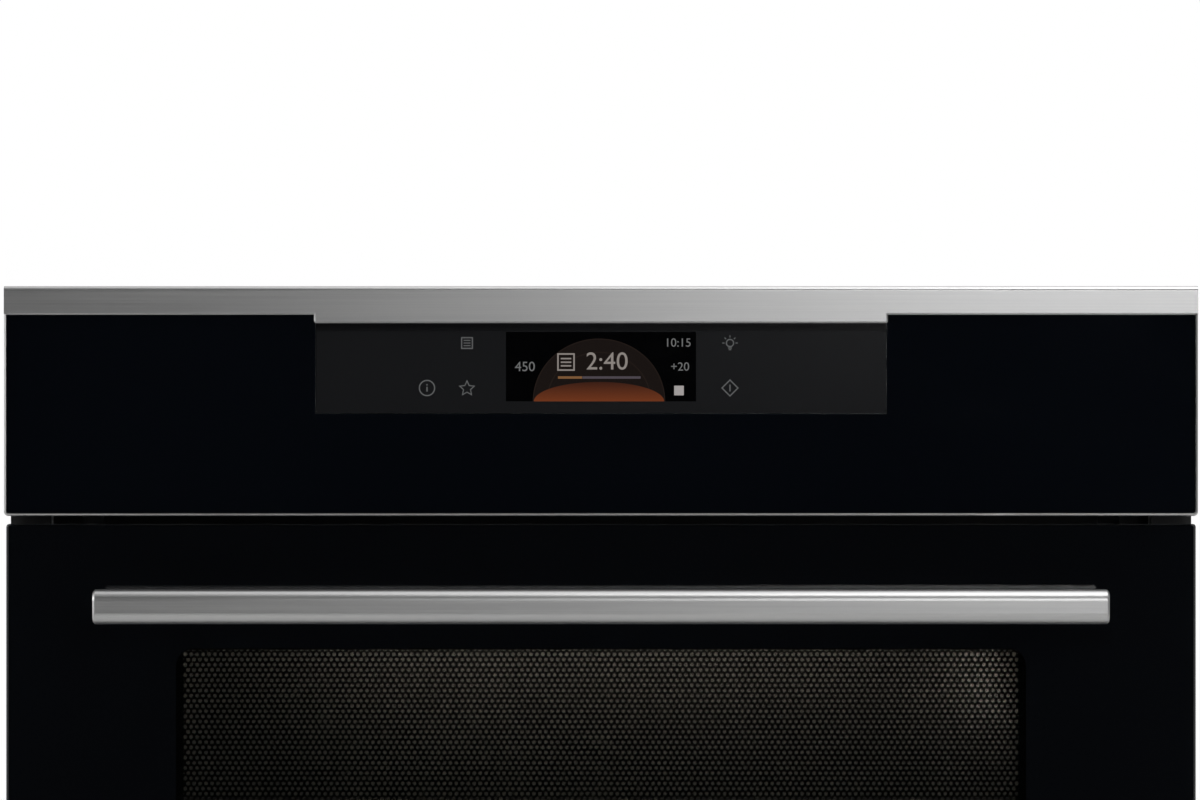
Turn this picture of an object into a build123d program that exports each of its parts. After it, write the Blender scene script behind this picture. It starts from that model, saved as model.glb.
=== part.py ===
from build123d import *
import os

# A built-in microwave for a kitchen niche 450 mm high and 560 mm wide, with a flat ceramic floor,
# a drop-down door and a wide control fascia above it.
# Millimetres, +Z up, the front faces -Y, and the origin is the middle of the flat underside.

# Oven cavity
CAVITY_WIDTH = 480.0
CAVITY_HEIGHT = 212.0
CAVITY_DEPTH = 411.0
CAVITY_SHEET = 1.0
CAVITY_CORNER = 14.0
CAVITY_FLANGE = 7.0
CERAMIC_THICKNESS = 4.0
CERAMIC_LEDGE = 10.0
SEAL_WIDTH = 3.0
CHAMBER_HEIGHT = 16.0
SUPPORT_WIDTH = 70.0
SUPPORT_FLANGE = 14.0
SUPPORT_SPREAD = 330.0

# Chassis sheets and the spaces round the cavity
BASE_SHEET = 1.2
BASE_RIM = 15.0
FRAME_SHEET = 1.2
CASING_SHEET = 0.8
CASING_BEND = 2.4
REAR_SHEET = 0.8
FRAME_RECESS = 20.0
SERVICE_DEPTH = 115.0
TOP_OVERLAP = 14.0
FRONT_OVERLAP = 19.7
FLANGE_WIDTH = 14.4
FLANGE_FOOT = 34.0
CABINET_HOLE_RADIUS = 2.5
CABINET_HOLE_INSET = 6.2
CABINET_HOLE_LOW = 70.0
CABINET_HOLE_RISE = 230.0
VENT_SLOT_WIDTH = 4.0
VENT_SLOT_PITCH = 10.0
VENT_SLOT_LENGTH = 34.0
CASING_FLANGE = 14.0
BEAD_WIDTH = 14.0
BEAD_HEIGHT = 0.8
BEAD_SPREAD = 260.0
BEAD_MARGIN = 60.0
BEAD_TAPER = 45.0
EDGE_GAP = 1.0

# Control fascia
FASCIA_HEIGHT = 114.6
GLASS_THICKNESS = 4.0
CARRIER_SHEET = 1.0
CARRIER_LIP = 1.1
CARRIER_BOTTOM_LIP = 1.2
CARRIER_CORNER = 2.2
CARRIER_FLANGE = 14.5
GLASS_CORNER = 1.5
GLASS_BEVEL = 0.4
TRIM_SHEET = 1.5
TRIM_HEIGHT = 14.3
TRIM_DROP = 4.2
TRIM_DROP_WIDTH = 286.0
TRIM_CORNER = 1.2
TRIM_BEVEL = 0.8
TRIM_BEND = 2.5
TOUCH_WIDTH = 284.3
TOUCH_HEIGHT = 45.0
TOUCH_TUCK = 3.0
TOUCH_RECESS = 0.4
TOUCH_GAP = 0.25
DISPLAY_WIDTH = 94.7
DISPLAY_HEIGHT = 34.6
DISPLAY_DROP = 22.9
DISPLAY_BORDER = 3.0
DISPLAY_DEPTH = 5.3
DISPLAY_RECESS = 0.2
SUPPORT_BORDER = 2.2
BOARD_THICKNESS = 1.6
CONTROL_BOARD_MARGIN = 9.0

# Door
DOOR_TOP_BAND = 11.0
DOOR_GAP = 4.0
DOOR_LIFT = 12.0
DOOR_SHEET = 1.0
DOOR_BACK_GAP = 1.8
PROFILE_DEPTH = 14.0
PROFILE_WEB = 6.0
PROFILE_WALL = 2.0
PROFILE_INSET = 3.5
PROFILE_LAP = 22.0
PROFILE_CHAMFER = 3.5
CHOKE_LAP = 32.0
CHOKE_INNER = 6.0
CHOKE_LIP = 12.0
CHOKE_FINGER_PITCH = 22.0
CHOKE_FINGER_GAP = 4.0
CHOKE_COVER = 2.0
CHOKE_GAP = 2.0
PAN_CLEARANCE = 4.6
WINDOW_MARGIN = 30.0
SCREEN_SHEET = 0.6
SCREEN_LAP = 10.0
INNER_GLASS = 3.0
INNER_GLASS_MARGIN = 4.0
FIT_GAP = 0.3

# Door handle
HANDLE_LENGTH = 500.0
HANDLE_DEPTH = 13.0
HANDLE_HEIGHT = 17.0
HANDLE_ROUND = 5.5
HANDLE_BEVEL = 1.0
HANDLE_REACH = 34.0
HANDLE_DROP = 40.0
POST_SPREAD = 400.0
POST_WIDTH = 22.0
POST_HEIGHT = 12.0
HANDLE_SCREW_RADIUS = 2.5
HANDLE_SCREW_HEAD = 5.0
HANDLE_SCREW_HEAD_HEIGHT = 3.0
HANDLE_SCREW_BITE = 14.0
GLASS_HOLE_RADIUS = 4.0

# Door hinges
PIVOT_SETBACK = 10.0
PIVOT_RISE = 6.0
PIVOT_RADIUS = 2.5
RUNNING_GAP = 0.05
HINGE_OFFSET = 19.0
HINGE_WIDTH = 24.0
ARM_THICKNESS = 6.0
ARM_GAP = 1.0
FOOT_SHEET = 3.0
FOOT_HEIGHT = 30.0
GLASS_CLEARANCE = 0.8

# Door latches and their interlock switches
LATCH_OFFSET = 16.0
HOOK_WIDTH = 8.0
HOOK_HEIGHT = 5.0
HOOK_DROP = 8.0
HOOK_REACH = 48.0
HOOK_BARB = 3.0
HOOK_SIDE_GAP = 1.5
HOOK_RISE_GAP = 7.0
LEVER_THICKNESS = 4.0
LEVER_HEIGHT = 30.0
LEVER_PIVOT_RISE = 4.0
LEVER_CONTACT_DROP = 8.0
TRUNNION_RADIUS = 2.0
CHEEK = 1.5
SWITCH_DEPTH = 15.9
SWITCH_HEIGHT = 27.8
SWITCH_STANDOFF = 4.7
PLUNGER_RADIUS = 2.0
PLUNGER_REST = 3.0

# Microwave feed under the floor
MOTOR_HEIGHT = 15.0
MOTOR_RADIUS = 24.0
MOTOR_EAR = 7.0
MOTOR_CLEARANCE = 4.8
SHAFT_RADIUS = 4.0
SHAFT_SEAT = 8.0
WAVEGUIDE_WIDTH = 90.0
WAVEGUIDE_HEIGHT = 40.0
WAVEGUIDE_SHEET = 1.0
COUPLING_RADIUS = 30.0
ANTENNA_RADIUS = 85.0
ANTENNA_SHEET = 1.2
ANTENNA_HUB = 10.0
ANTENNA_SLOT_WIDTH = 12.0
ANTENNA_SLOT_LENGTH = 60.0
ANTENNA_SLOTS = 3

# Magnetron
YOKE_WIDTH = 94.0
YOKE_DEPTH = 64.0
YOKE_SHEET = 1.6
MAGNET_RADIUS = 27.0
MAGNET_BORE = 12.0
MAGNET_HEIGHT = 12.0
ANODE_RADIUS = 20.0
ANODE_HEIGHT = 36.0
STEM_RADIUS = 9.0
STEM_REACH = 20.0
ROUND_SIDES = 12
FIN_COUNT = 3
FIN_SHEET = 0.8
FIN_WIDTH = 80.0
FILTER_WIDTH = 62.0
FILTER_DEPTH = 52.0
FILTER_HEIGHT = 32.0

# Power transformer and capacitor
CORE_WIDTH = 96.0
CORE_HEIGHT = 80.0
CORE_STACK = 56.0
CORE_LIMB = 16.0
WINDOW_WIDTH = 16.0
WINDING_GAP = 0.4
WINDING_SPLIT = 4.0
PART_SPACING = 30.0
CAPACITOR_WIDTH = 54.0
CAPACITOR_DEPTH = 34.0
CAPACITOR_HEIGHT = 92.0
CAPACITOR_TAB = 9.0
TAB_WIDTH = 6.3
TAB_SHEET = 0.8
STRAP_SHEET = 1.0
STRAP_HEIGHT = 18.0
STRAP_FOOT = 16.0

# Cooling blower and its duct
FAN_RADIUS = 30.0
FAN_LENGTH = 190.0
FAN_BLADES = 18
FAN_BLADE_SHEET = 1.0
FAN_BLADE_CHORD = 11.0
FAN_BLADE_ANGLE = 35.0
FAN_DISC = 2.0
FAN_FLOOR_GAP = 12.0
FAN_SCROLL_ANGLE = 125.0
FAN_SHEET = 1.2
FAN_END_GAP = 3.0
FAN_SHAFT_RADIUS = 3.0
FAN_MOTOR_WIDTH = 46.0
FAN_MOTOR_STACK = 22.0
FAN_MOTOR_HEIGHT = 58.0
DUCT_WIDTH = 340.0
DUCT_HEIGHT = 44.0
DUCT_SHEET = 0.8
DUCT_FLANGE = 10.0

# Electronics, lamp and mains entry
STANDOFF_HEIGHT = 8.0
STANDOFF_WIDTH = 8.0
POWER_BOARD_WIDTH = 160.0
POWER_BOARD_DEPTH = 110.0
RELAY_HEIGHT = 16.0
CHOKE_COIL_HEIGHT = 30.0
PLUG_ROW_HEIGHT = 12.0
SMOOTHER_HEIGHT = 24.0
CHIP_HEIGHT = 3.0
PLUG_HEIGHT = 7.0
LAMP_WIDTH = 46.0
LAMP_HEIGHT = 32.0
LAMP_RIM = 5.0
LAMP_DEPTH = 22.0
LAMP_WALL = 1.2
LAMP_LENS = 3.0
BULB_RADIUS = 6.0
LAMP_SETBACK = 140.0
LAMP_DROP = 70.0
SCREEN_WIDTH = 72.0
SCREEN_HEIGHT = 44.0
SCREEN_SLOT = 3.0
SCREEN_PITCH = 7.0
SCREEN_MARGIN = 7.0
CUTOUT_RADIUS = 8.0
CUTOUT_HEIGHT = 9.0
GLAND_BORE = 5.0
GLAND_RADIUS = 9.0
GLAND_FLANGE = 13.0
GLAND_FLANGE_DEPTH = 6.0
TERMINAL_WIDTH = 64.0
TERMINAL_DEPTH = 24.0
TERMINAL_HEIGHT = 30.0
MAINS_OFFSET = 190.0
GLAND_LEVEL = 120.0
TERMINAL_LEVEL = 60.0

# Levels, from the underside up
wave_bottom = BASE_SHEET + MOTOR_CLEARANCE + MOTOR_HEIGHT
wave_top = wave_bottom + WAVEGUIDE_HEIGHT
chamber_floor = wave_top + CAVITY_SHEET
ledge = chamber_floor + CHAMBER_HEIGHT
floor_level = ledge + CERAMIC_THICKNESS
ceiling = floor_level + CAVITY_HEIGHT
roof = ceiling + CAVITY_SHEET
pan_bottom = floor_level - CHOKE_LAP
pan_top = ceiling + CHOKE_LAP
door_bottom = DOOR_LIFT
door_top = pan_top + DOOR_TOP_BAND
rail_bottom = door_bottom + EDGE_GAP
rail_top = door_top - EDGE_GAP
fascia_bottom = door_top + DOOR_GAP
front_top = fascia_bottom + FASCIA_HEIGHT
chassis_height = front_top - TOP_OVERLAP
casing_top = chassis_height - CASING_SHEET
flange_top = front_top - TRIM_SHEET - CARRIER_LIP
duct_top = roof + DUCT_HEIGHT

# Widths, as halves about the middle
cavity_half = CAVITY_WIDTH / 2
pan_half = cavity_half + CHOKE_LAP
chassis_half = pan_half + PAN_CLEARANCE + FRAME_SHEET
casing_inside = chassis_half - CASING_SHEET
front_half = chassis_half + FRONT_OVERLAP
glass_half = front_half - CARRIER_LIP
return_half = chassis_half - FRAME_SHEET
flange_half = return_half + FLANGE_WIDTH

# Depths, from the front to the rear
chassis_depth = FRAME_RECESS + CAVITY_DEPTH + SERVICE_DEPTH
niche_front = -chassis_depth / 2
rear = chassis_depth / 2
frame_front = niche_front + FRAME_RECESS
frame_back = frame_front + FRAME_SHEET
back_wall = frame_front + CAVITY_DEPTH
flange_front = niche_front - FRAME_SHEET
profile_back = flange_front - DOOR_BACK_GAP
glass_back = profile_back - PROFILE_DEPTH
front_face = glass_back - GLASS_THICKNESS
rear_inside = rear - REAR_SHEET
cavity_middle = (frame_back + back_wall) / 2
service_middle = (back_wall + CAVITY_SHEET + rear_inside) / 2

SIDES = (-1, 1)
SIDE_NAMES = {-1: "left", 1: "right"}


def facing_front(depth):
    """A drawing plane with x to the right and z up; extruding runs from that depth towards the front."""
    return Plane.XZ.offset(-depth)


def facing_up(level):
    """A drawing plane seen from above; extruding runs upwards from that level."""
    return Plane.XY.offset(level)


def facing_right(offset_x):
    """A drawing plane with y to the right and z up; extruding runs towards +X from there."""
    return Plane.YZ.offset(offset_x)


def across(side, inner, outer):
    """The lower and upper x of a strip between two distances from the middle, on one side."""
    return sorted((side * inner, side * outer))


def rectangle(left, right, bottom, top, mode=Mode.ADD):
    """A rectangle in the sketch being drawn, from its four sides."""
    with Locations(((left + right) / 2, (bottom + top) / 2)):
        Rectangle(right - left, top - bottom, mode=mode)


def block(left, right, front, back, bottom, top, mode=Mode.ADD):
    """A block in the part being built, from its six sides."""
    with Locations(((left + right) / 2, (front + back) / 2, (bottom + top) / 2)):
        Box(right - left, back - front, top - bottom, mode=mode)


def row_count(length, pitch):
    """How many holes of a row fit in a length."""
    return max(1, int(length // pitch))


os.makedirs("parts", exist_ok=True)


def keep(piece, name):
    """Names a finished piece and writes its file."""
    piece.part.label = name
    export_step(piece.part, f"parts/{name}.step")


# Base plate: a flat tray with rims turned up at the sides and air slots under the service space
with BuildPart() as base_plate:
    with BuildSketch(facing_up(0)):
        rectangle(-casing_inside, casing_inside, frame_back, rear_inside)
        for side in SIDES:
            with Locations((side * SUPPORT_SPREAD / 2, service_middle)):
                with GridLocations(VENT_SLOT_PITCH, 0, 5, 1):
                    Rectangle(VENT_SLOT_WIDTH, VENT_SLOT_LENGTH, mode=Mode.SUBTRACT)
    extrude(amount=BASE_SHEET)
    for side in SIDES:
        with BuildSketch(facing_up(0)):
            rectangle(*across(side, casing_inside - BASE_SHEET, casing_inside), frame_back, rear_inside)
        extrude(amount=BASE_RIM)
keep(base_plate, "base_plate")

# Front frame: the welded plate round the oven mouth, folded forward into flanges for the cabinet screws
latch_x = cavity_half + LATCH_OFFSET
hinge_x = cavity_half + HINGE_OFFSET
hook_bottom = door_top - HOOK_DROP
pivot_y = front_face + PIVOT_SETBACK
pivot_z = door_bottom + PIVOT_RISE
eye_radius = PIVOT_SETBACK - GLASS_THICKNESS - GLASS_CLEARANCE
cheek_inner = HOOK_WIDTH / 2 + HOOK_SIDE_GAP
arm_slot_half = ARM_THICKNESS / 2 + ARM_GAP
with BuildPart() as front_frame:
    with BuildSketch(facing_front(frame_back)):
        rectangle(-chassis_half, chassis_half, BASE_SHEET, chassis_height)
        with BuildSketch(mode=Mode.SUBTRACT) as mouth:
            rectangle(-cavity_half, cavity_half, floor_level, ceiling)
            fillet(mouth.vertices().group_by(Axis.Y)[-1], CAVITY_CORNER)
        for side in SIDES:
            latch = across(side, latch_x - cheek_inner, latch_x + cheek_inner)
            latch_low = hook_bottom - HOOK_BARB - EDGE_GAP
            latch_high = hook_bottom + HOOK_HEIGHT + HOOK_RISE_GAP
            rectangle(*latch, latch_low, latch_high, mode=Mode.SUBTRACT)
            arm = across(side, hinge_x - arm_slot_half, hinge_x + arm_slot_half)
            arm_low = pivot_z - eye_radius - EDGE_GAP
            arm_high = pivot_z + eye_radius + EDGE_GAP
            rectangle(*arm, arm_low, arm_high, mode=Mode.SUBTRACT)
        slots = row_count(DUCT_WIDTH - 2 * DUCT_FLANGE, VENT_SLOT_PITCH * 2)
        with Locations((0, duct_top - VENT_SLOT_PITCH)):
            with GridLocations(VENT_SLOT_PITCH * 2, 0, slots, 1):
                Rectangle(VENT_SLOT_PITCH * 2 - VENT_SLOT_WIDTH, VENT_SLOT_WIDTH, mode=Mode.SUBTRACT)
    extrude(amount=FRAME_SHEET)
    with BuildSketch(facing_front(frame_back)):
        rectangle(-chassis_half, chassis_half, FLANGE_FOOT, chassis_height)
        rectangle(-return_half, return_half, FLANGE_FOOT, chassis_height - FRAME_SHEET, mode=Mode.SUBTRACT)
    extrude(amount=frame_back - flange_front)
    with BuildSketch(facing_front(niche_front)):
        rectangle(-flange_half, flange_half, FLANGE_FOOT, flange_top)
        rectangle(-return_half, return_half, FLANGE_FOOT, chassis_height - FRAME_SHEET, mode=Mode.SUBTRACT)
    extrude(amount=FRAME_SHEET)
    with BuildSketch(facing_front(niche_front)):
        with Locations((0, CABINET_HOLE_LOW + CABINET_HOLE_RISE / 2)):
            with GridLocations(2 * (flange_half - CABINET_HOLE_INSET), CABINET_HOLE_RISE, 2, 2):
                Circle(CABINET_HOLE_RADIUS)
    extrude(amount=FRAME_SHEET, mode=Mode.SUBTRACT)
keep(front_frame, "front_frame")

# Bottom vent: the dark slotted strip set back under the door
vent_front = frame_front - PAN_CLEARANCE * 2
vent_half = hinge_x - HINGE_WIDTH / 2 - PAN_CLEARANCE
vent_top = pan_bottom - PROFILE_CHAMFER
vent_slots = row_count(2 * (vent_half - VENT_SLOT_PITCH), VENT_SLOT_PITCH * 2)
with BuildPart() as bottom_vent:
    with BuildSketch(facing_right(-vent_half)):
        with BuildLine():
            path = Polyline((frame_front, PIVOT_RISE), (vent_front, PIVOT_RISE), (vent_front, vent_top))
            offset(path, FRAME_SHEET, side=Side.RIGHT)
        make_face()
    extrude(amount=2 * vent_half)
    with BuildSketch(facing_front(vent_front + 2 * FRAME_SHEET)):
        with Locations((0, (PIVOT_RISE + vent_top) / 2)):
            with GridLocations(VENT_SLOT_PITCH * 2, 0, vent_slots, 1):
                Rectangle(VENT_SLOT_PITCH * 2 - VENT_SLOT_WIDTH, VENT_SLOT_WIDTH)
    extrude(amount=4 * FRAME_SHEET, mode=Mode.SUBTRACT)
keep(bottom_vent, "bottom_vent")

# Outer casing: one sheet folded over the top and sides, slotted for air and turned in at the rear
with BuildPart() as outer_casing:
    with BuildSketch(facing_front(rear_inside)) as casing_section:
        rectangle(-chassis_half, chassis_half, BASE_SHEET, chassis_height)
        fillet(casing_section.vertices().group_by(Axis.Y)[-1], CASING_BEND)
        with BuildSketch(mode=Mode.SUBTRACT) as casing_room:
            rectangle(-casing_inside, casing_inside, BASE_SHEET, casing_top)
            fillet(casing_room.vertices().group_by(Axis.Y)[-1], CASING_BEND - CASING_SHEET)
    extrude(amount=rear_inside - frame_back)
    with BuildSketch(facing_front(rear_inside)):
        rectangle(-casing_inside, casing_inside, BASE_RIM + EDGE_GAP, casing_top)
        rectangle(
            CASING_FLANGE - casing_inside,
            casing_inside - CASING_FLANGE,
            BASE_RIM + EDGE_GAP,
            casing_top - CASING_FLANGE,
            mode=Mode.SUBTRACT,
        )
    extrude(amount=CASING_SHEET)
    bead_length = CAVITY_DEPTH - BEAD_MARGIN
    with BuildSketch(facing_up(chassis_height)):
        with Locations((0, cavity_middle)):
            with GridLocations(BEAD_SPREAD, 0, 2, 1):
                Rectangle(BEAD_WIDTH, bead_length)
    extrude(amount=BEAD_HEIGHT, taper=BEAD_TAPER)
    for side in SIDES:
        with BuildSketch(facing_right(side * chassis_half)):
            with Locations((cavity_middle, chassis_height / 2)):
                with GridLocations(0, BEAD_SPREAD, 1, 2):
                    Rectangle(bead_length, BEAD_WIDTH)
        extrude(amount=side * BEAD_HEIGHT, taper=BEAD_TAPER)
    with BuildSketch(facing_right(-chassis_half)):
        for level in (floor_level, ceiling):
            with Locations((service_middle - VENT_SLOT_PITCH, level)):
                with GridLocations(VENT_SLOT_PITCH, 0, 6, 1):
                    Rectangle(VENT_SLOT_WIDTH, VENT_SLOT_LENGTH)
    extrude(amount=2 * chassis_half, mode=Mode.SUBTRACT)
    with BuildSketch(facing_up(casing_top)):
        for side in SIDES:
            with Locations((side * DUCT_WIDTH / 4, service_middle - VENT_SLOT_PITCH)):
                with GridLocations(VENT_SLOT_PITCH, 0, 8, 1):
                    Rectangle(VENT_SLOT_WIDTH, VENT_SLOT_LENGTH)
    extrude(amount=CASING_SHEET, mode=Mode.SUBTRACT)
keep(outer_casing, "outer_casing")

# Rear panel with the blower's air slots and the mains gland hole
fan_y = service_middle
fan_z = roof + FAN_FLOOR_GAP + FAN_RADIUS
with BuildPart() as rear_panel:
    with BuildSketch(facing_front(rear)) as panel_outline:
        rectangle(-chassis_half, chassis_half, BASE_SHEET, chassis_height)
        fillet(panel_outline.vertices().group_by(Axis.Y)[-1], CASING_BEND)
        with Locations((0, fan_z)):
            with GridLocations(VENT_SLOT_PITCH * 4, VENT_SLOT_PITCH, 4, 5):
                Rectangle(VENT_SLOT_LENGTH, VENT_SLOT_WIDTH, mode=Mode.SUBTRACT)
        with Locations((0, floor_level + CAVITY_HEIGHT / 3)):
            with GridLocations(VENT_SLOT_PITCH * 4, VENT_SLOT_PITCH, 3, 5):
                Rectangle(VENT_SLOT_LENGTH, VENT_SLOT_WIDTH, mode=Mode.SUBTRACT)
        with Locations((MAINS_OFFSET, GLAND_LEVEL)):
            Circle(GLAND_RADIUS, mode=Mode.SUBTRACT)
    extrude(amount=REAR_SHEET)
keep(rear_panel, "rear_panel")

# Cavity liner: the oven box with its welded flange, stepped down into the antenna chamber
lamp_y = back_wall - LAMP_SETBACK
lamp_z = ceiling - LAMP_DROP
chamber_half = cavity_half - CERAMIC_LEDGE
chamber_front = frame_back + CERAMIC_LEDGE
chamber_back = back_wall - CERAMIC_LEDGE
with BuildPart() as cavity_liner:
    with BuildSketch(facing_front(back_wall + CAVITY_SHEET)) as skin:
        rectangle(-cavity_half - CAVITY_SHEET, cavity_half + CAVITY_SHEET, ledge - CAVITY_SHEET, roof)
        fillet(skin.vertices().group_by(Axis.Y)[-1], CAVITY_CORNER + CAVITY_SHEET)
    extrude(amount=back_wall + CAVITY_SHEET - frame_back)
    with BuildSketch(facing_up(wave_top)):
        rectangle(
            -chamber_half - CAVITY_SHEET,
            chamber_half + CAVITY_SHEET,
            chamber_front - CAVITY_SHEET,
            chamber_back + CAVITY_SHEET,
        )
    extrude(amount=CHAMBER_HEIGHT)
    with BuildSketch(facing_front(frame_back + CAVITY_SHEET)):
        liner_half = cavity_half + CAVITY_FLANGE
        rectangle(-liner_half, liner_half, ledge - CAVITY_FLANGE, roof + CAVITY_FLANGE)
    extrude(amount=CAVITY_SHEET)
    with BuildSketch(facing_front(back_wall)) as oven_space:
        rectangle(-cavity_half, cavity_half, ledge, ceiling)
        fillet(oven_space.vertices().group_by(Axis.Y)[-1], CAVITY_CORNER)
    extrude(amount=back_wall - frame_back, mode=Mode.SUBTRACT)
    with BuildSketch(facing_up(chamber_floor)):
        rectangle(-chamber_half, chamber_half, chamber_front, chamber_back)
    extrude(amount=CHAMBER_HEIGHT, mode=Mode.SUBTRACT)
    with BuildSketch(facing_up(wave_top)):
        with Locations((0, cavity_middle)):
            RegularPolygon(COUPLING_RADIUS, 2 * ROUND_SIDES)
    extrude(amount=CAVITY_SHEET, mode=Mode.SUBTRACT)
    with BuildSketch(facing_right(cavity_half)):
        with Locations((lamp_y, lamp_z)):
            Rectangle(LAMP_WIDTH, LAMP_HEIGHT)
    extrude(amount=CAVITY_SHEET, mode=Mode.SUBTRACT)
    with BuildSketch(facing_right(-cavity_half - CAVITY_SHEET)):
        with Locations((lamp_y, lamp_z)):
            Rectangle(SCREEN_WIDTH - 2 * SCREEN_MARGIN, SCREEN_HEIGHT - 2 * SCREEN_MARGIN)
    extrude(amount=CAVITY_SHEET, mode=Mode.SUBTRACT)
keep(cavity_liner, "cavity_liner")

# Two folded supports that carry the cavity's rear end on the base
support_y = chamber_back - SUPPORT_FLANGE
with BuildPart() as cavity_supports:
    for side in SIDES:
        with BuildSketch(facing_right(side * SUPPORT_SPREAD / 2 - SUPPORT_WIDTH / 2)):
            with BuildLine():
                fold = Polyline(
                    (support_y - SUPPORT_FLANGE, BASE_SHEET),
                    (support_y, BASE_SHEET),
                    (support_y, wave_top - BASE_SHEET),
                    (support_y + SUPPORT_FLANGE, wave_top - BASE_SHEET),
                )
                offset(fold, BASE_SHEET, side=Side.LEFT)
            make_face()
        extrude(amount=SUPPORT_WIDTH)
keep(cavity_supports, "cavity_supports")

# Ceramic oven floor, bonded in by a silicone seal
floor_half = cavity_half - SEAL_WIDTH
with BuildPart() as ceramic_floor:
    with BuildSketch(facing_up(ledge)):
        rectangle(-floor_half, floor_half, frame_back + SEAL_WIDTH, back_wall - SEAL_WIDTH)
    extrude(amount=CERAMIC_THICKNESS)
keep(ceramic_floor, "ceramic_floor")

with BuildPart() as floor_seal:
    with BuildSketch(facing_up(ledge)):
        rectangle(-cavity_half, cavity_half, frame_back, back_wall)
        rectangle(
            -floor_half, floor_half, frame_back + SEAL_WIDTH, back_wall - SEAL_WIDTH, mode=Mode.SUBTRACT
        )
    extrude(amount=CERAMIC_THICKNESS)
keep(floor_seal, "floor_seal")

# Perforated steam outlet on the left wall
with BuildPart() as vent_screen:
    with BuildSketch(facing_right(-cavity_half - CAVITY_SHEET - DUCT_SHEET)):
        with Locations((lamp_y, lamp_z)):
            Rectangle(SCREEN_WIDTH, SCREEN_HEIGHT)
            across_count = row_count(SCREEN_WIDTH - 2 * SCREEN_MARGIN, SCREEN_PITCH)
            with GridLocations(SCREEN_PITCH, 0, across_count, 1):
                Rectangle(SCREEN_SLOT, SCREEN_HEIGHT - 2 * SCREEN_MARGIN, mode=Mode.SUBTRACT)
    extrude(amount=DUCT_SHEET)
keep(vent_screen, "vent_screen")

# Oven lamp behind a glass lens in the right wall
lens_back = cavity_half + CAVITY_SHEET + LAMP_LENS
shade_width = LAMP_WIDTH + 2 * LAMP_RIM
shade_height = LAMP_HEIGHT + 2 * LAMP_RIM
with BuildPart() as lamp_lens:
    with BuildSketch(facing_right(cavity_half)):
        with Locations((lamp_y, lamp_z)):
            Rectangle(LAMP_WIDTH - 2 * FIT_GAP, LAMP_HEIGHT - 2 * FIT_GAP)
    extrude(amount=CAVITY_SHEET)
    with BuildSketch(facing_right(cavity_half + CAVITY_SHEET)):
        with Locations((lamp_y, lamp_z)):
            Rectangle(shade_width, shade_height)
    extrude(amount=LAMP_LENS)
keep(lamp_lens, "lamp_lens")

with BuildPart() as lamp_housing:
    with BuildSketch(facing_right(lens_back)):
        with Locations((lamp_y, lamp_z)):
            Rectangle(shade_width, shade_height)
    extrude(amount=LAMP_DEPTH)
    with BuildSketch(facing_right(lens_back)):
        with Locations((lamp_y, lamp_z)):
            Rectangle(shade_width - 2 * LAMP_WALL, shade_height - 2 * LAMP_WALL)
    extrude(amount=LAMP_DEPTH - LAMP_WALL, mode=Mode.SUBTRACT)
keep(lamp_housing, "lamp_housing")

with BuildPart() as lamp_bulb:
    with BuildSketch(facing_right(lens_back + LAMP_DEPTH - LAMP_WALL)):
        with Locations((lamp_y, lamp_z)):
            Rectangle(BULB_RADIUS * 2, BULB_RADIUS * 2)
    extrude(amount=-LAMP_DEPTH / 3)
    with BuildSketch(facing_right(lens_back + LAMP_DEPTH * 2 / 3 - LAMP_WALL)):
        with Locations((lamp_y, lamp_z)):
            Circle(BULB_RADIUS * 0.8)
    extrude(amount=-LAMP_DEPTH / 2)
keep(lamp_bulb, "lamp_bulb")

# Waveguide from the magnetron behind the cavity to the coupling hole under the oven floor
magnetron_y = service_middle
wave_front = cavity_middle - WAVEGUIDE_WIDTH / 2
wave_back = magnetron_y + YOKE_DEPTH / 2
with BuildPart() as waveguide:
    block(-WAVEGUIDE_WIDTH / 2, WAVEGUIDE_WIDTH / 2, wave_front, wave_back, wave_bottom, wave_top)
    block(
        WAVEGUIDE_SHEET - WAVEGUIDE_WIDTH / 2,
        WAVEGUIDE_WIDTH / 2 - WAVEGUIDE_SHEET,
        wave_front + WAVEGUIDE_SHEET,
        wave_back - WAVEGUIDE_SHEET,
        wave_bottom + WAVEGUIDE_SHEET,
        wave_top - WAVEGUIDE_SHEET,
        mode=Mode.SUBTRACT,
    )
    with BuildSketch(facing_up(wave_top - WAVEGUIDE_SHEET)):
        with Locations((0, cavity_middle)):
            RegularPolygon(COUPLING_RADIUS, 2 * ROUND_SIDES)
        with Locations((0, magnetron_y)):
            Circle(STEM_RADIUS + 2 * EDGE_GAP)
    extrude(amount=WAVEGUIDE_SHEET, mode=Mode.SUBTRACT)
    with BuildSketch(facing_up(wave_bottom)):
        with Locations((0, cavity_middle)):
            Circle(SHAFT_RADIUS + EDGE_GAP)
    extrude(amount=WAVEGUIDE_SHEET, mode=Mode.SUBTRACT)
keep(waveguide, "waveguide")

# Antenna motor under the waveguide, and the shaft and slotted plate it turns under the ceramic floor
with BuildPart() as antenna_motor:
    with BuildSketch(facing_up(wave_bottom - MOTOR_HEIGHT)):
        with Locations((0, cavity_middle)):
            RegularPolygon(MOTOR_RADIUS, 2 * ROUND_SIDES)
    extrude(amount=MOTOR_HEIGHT)
    with BuildSketch(facing_up(wave_bottom - BASE_SHEET)):
        with Locations((0, cavity_middle)):
            Rectangle(2 * MOTOR_RADIUS + 4 * MOTOR_EAR, 2 * MOTOR_EAR)
    extrude(amount=BASE_SHEET)
    with BuildSketch(facing_up(wave_bottom - SHAFT_SEAT)):
        with Locations((0, cavity_middle)):
            Circle(SHAFT_RADIUS + RUNNING_GAP)
    extrude(amount=SHAFT_SEAT, mode=Mode.SUBTRACT)
keep(antenna_motor, "antenna_motor")

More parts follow.
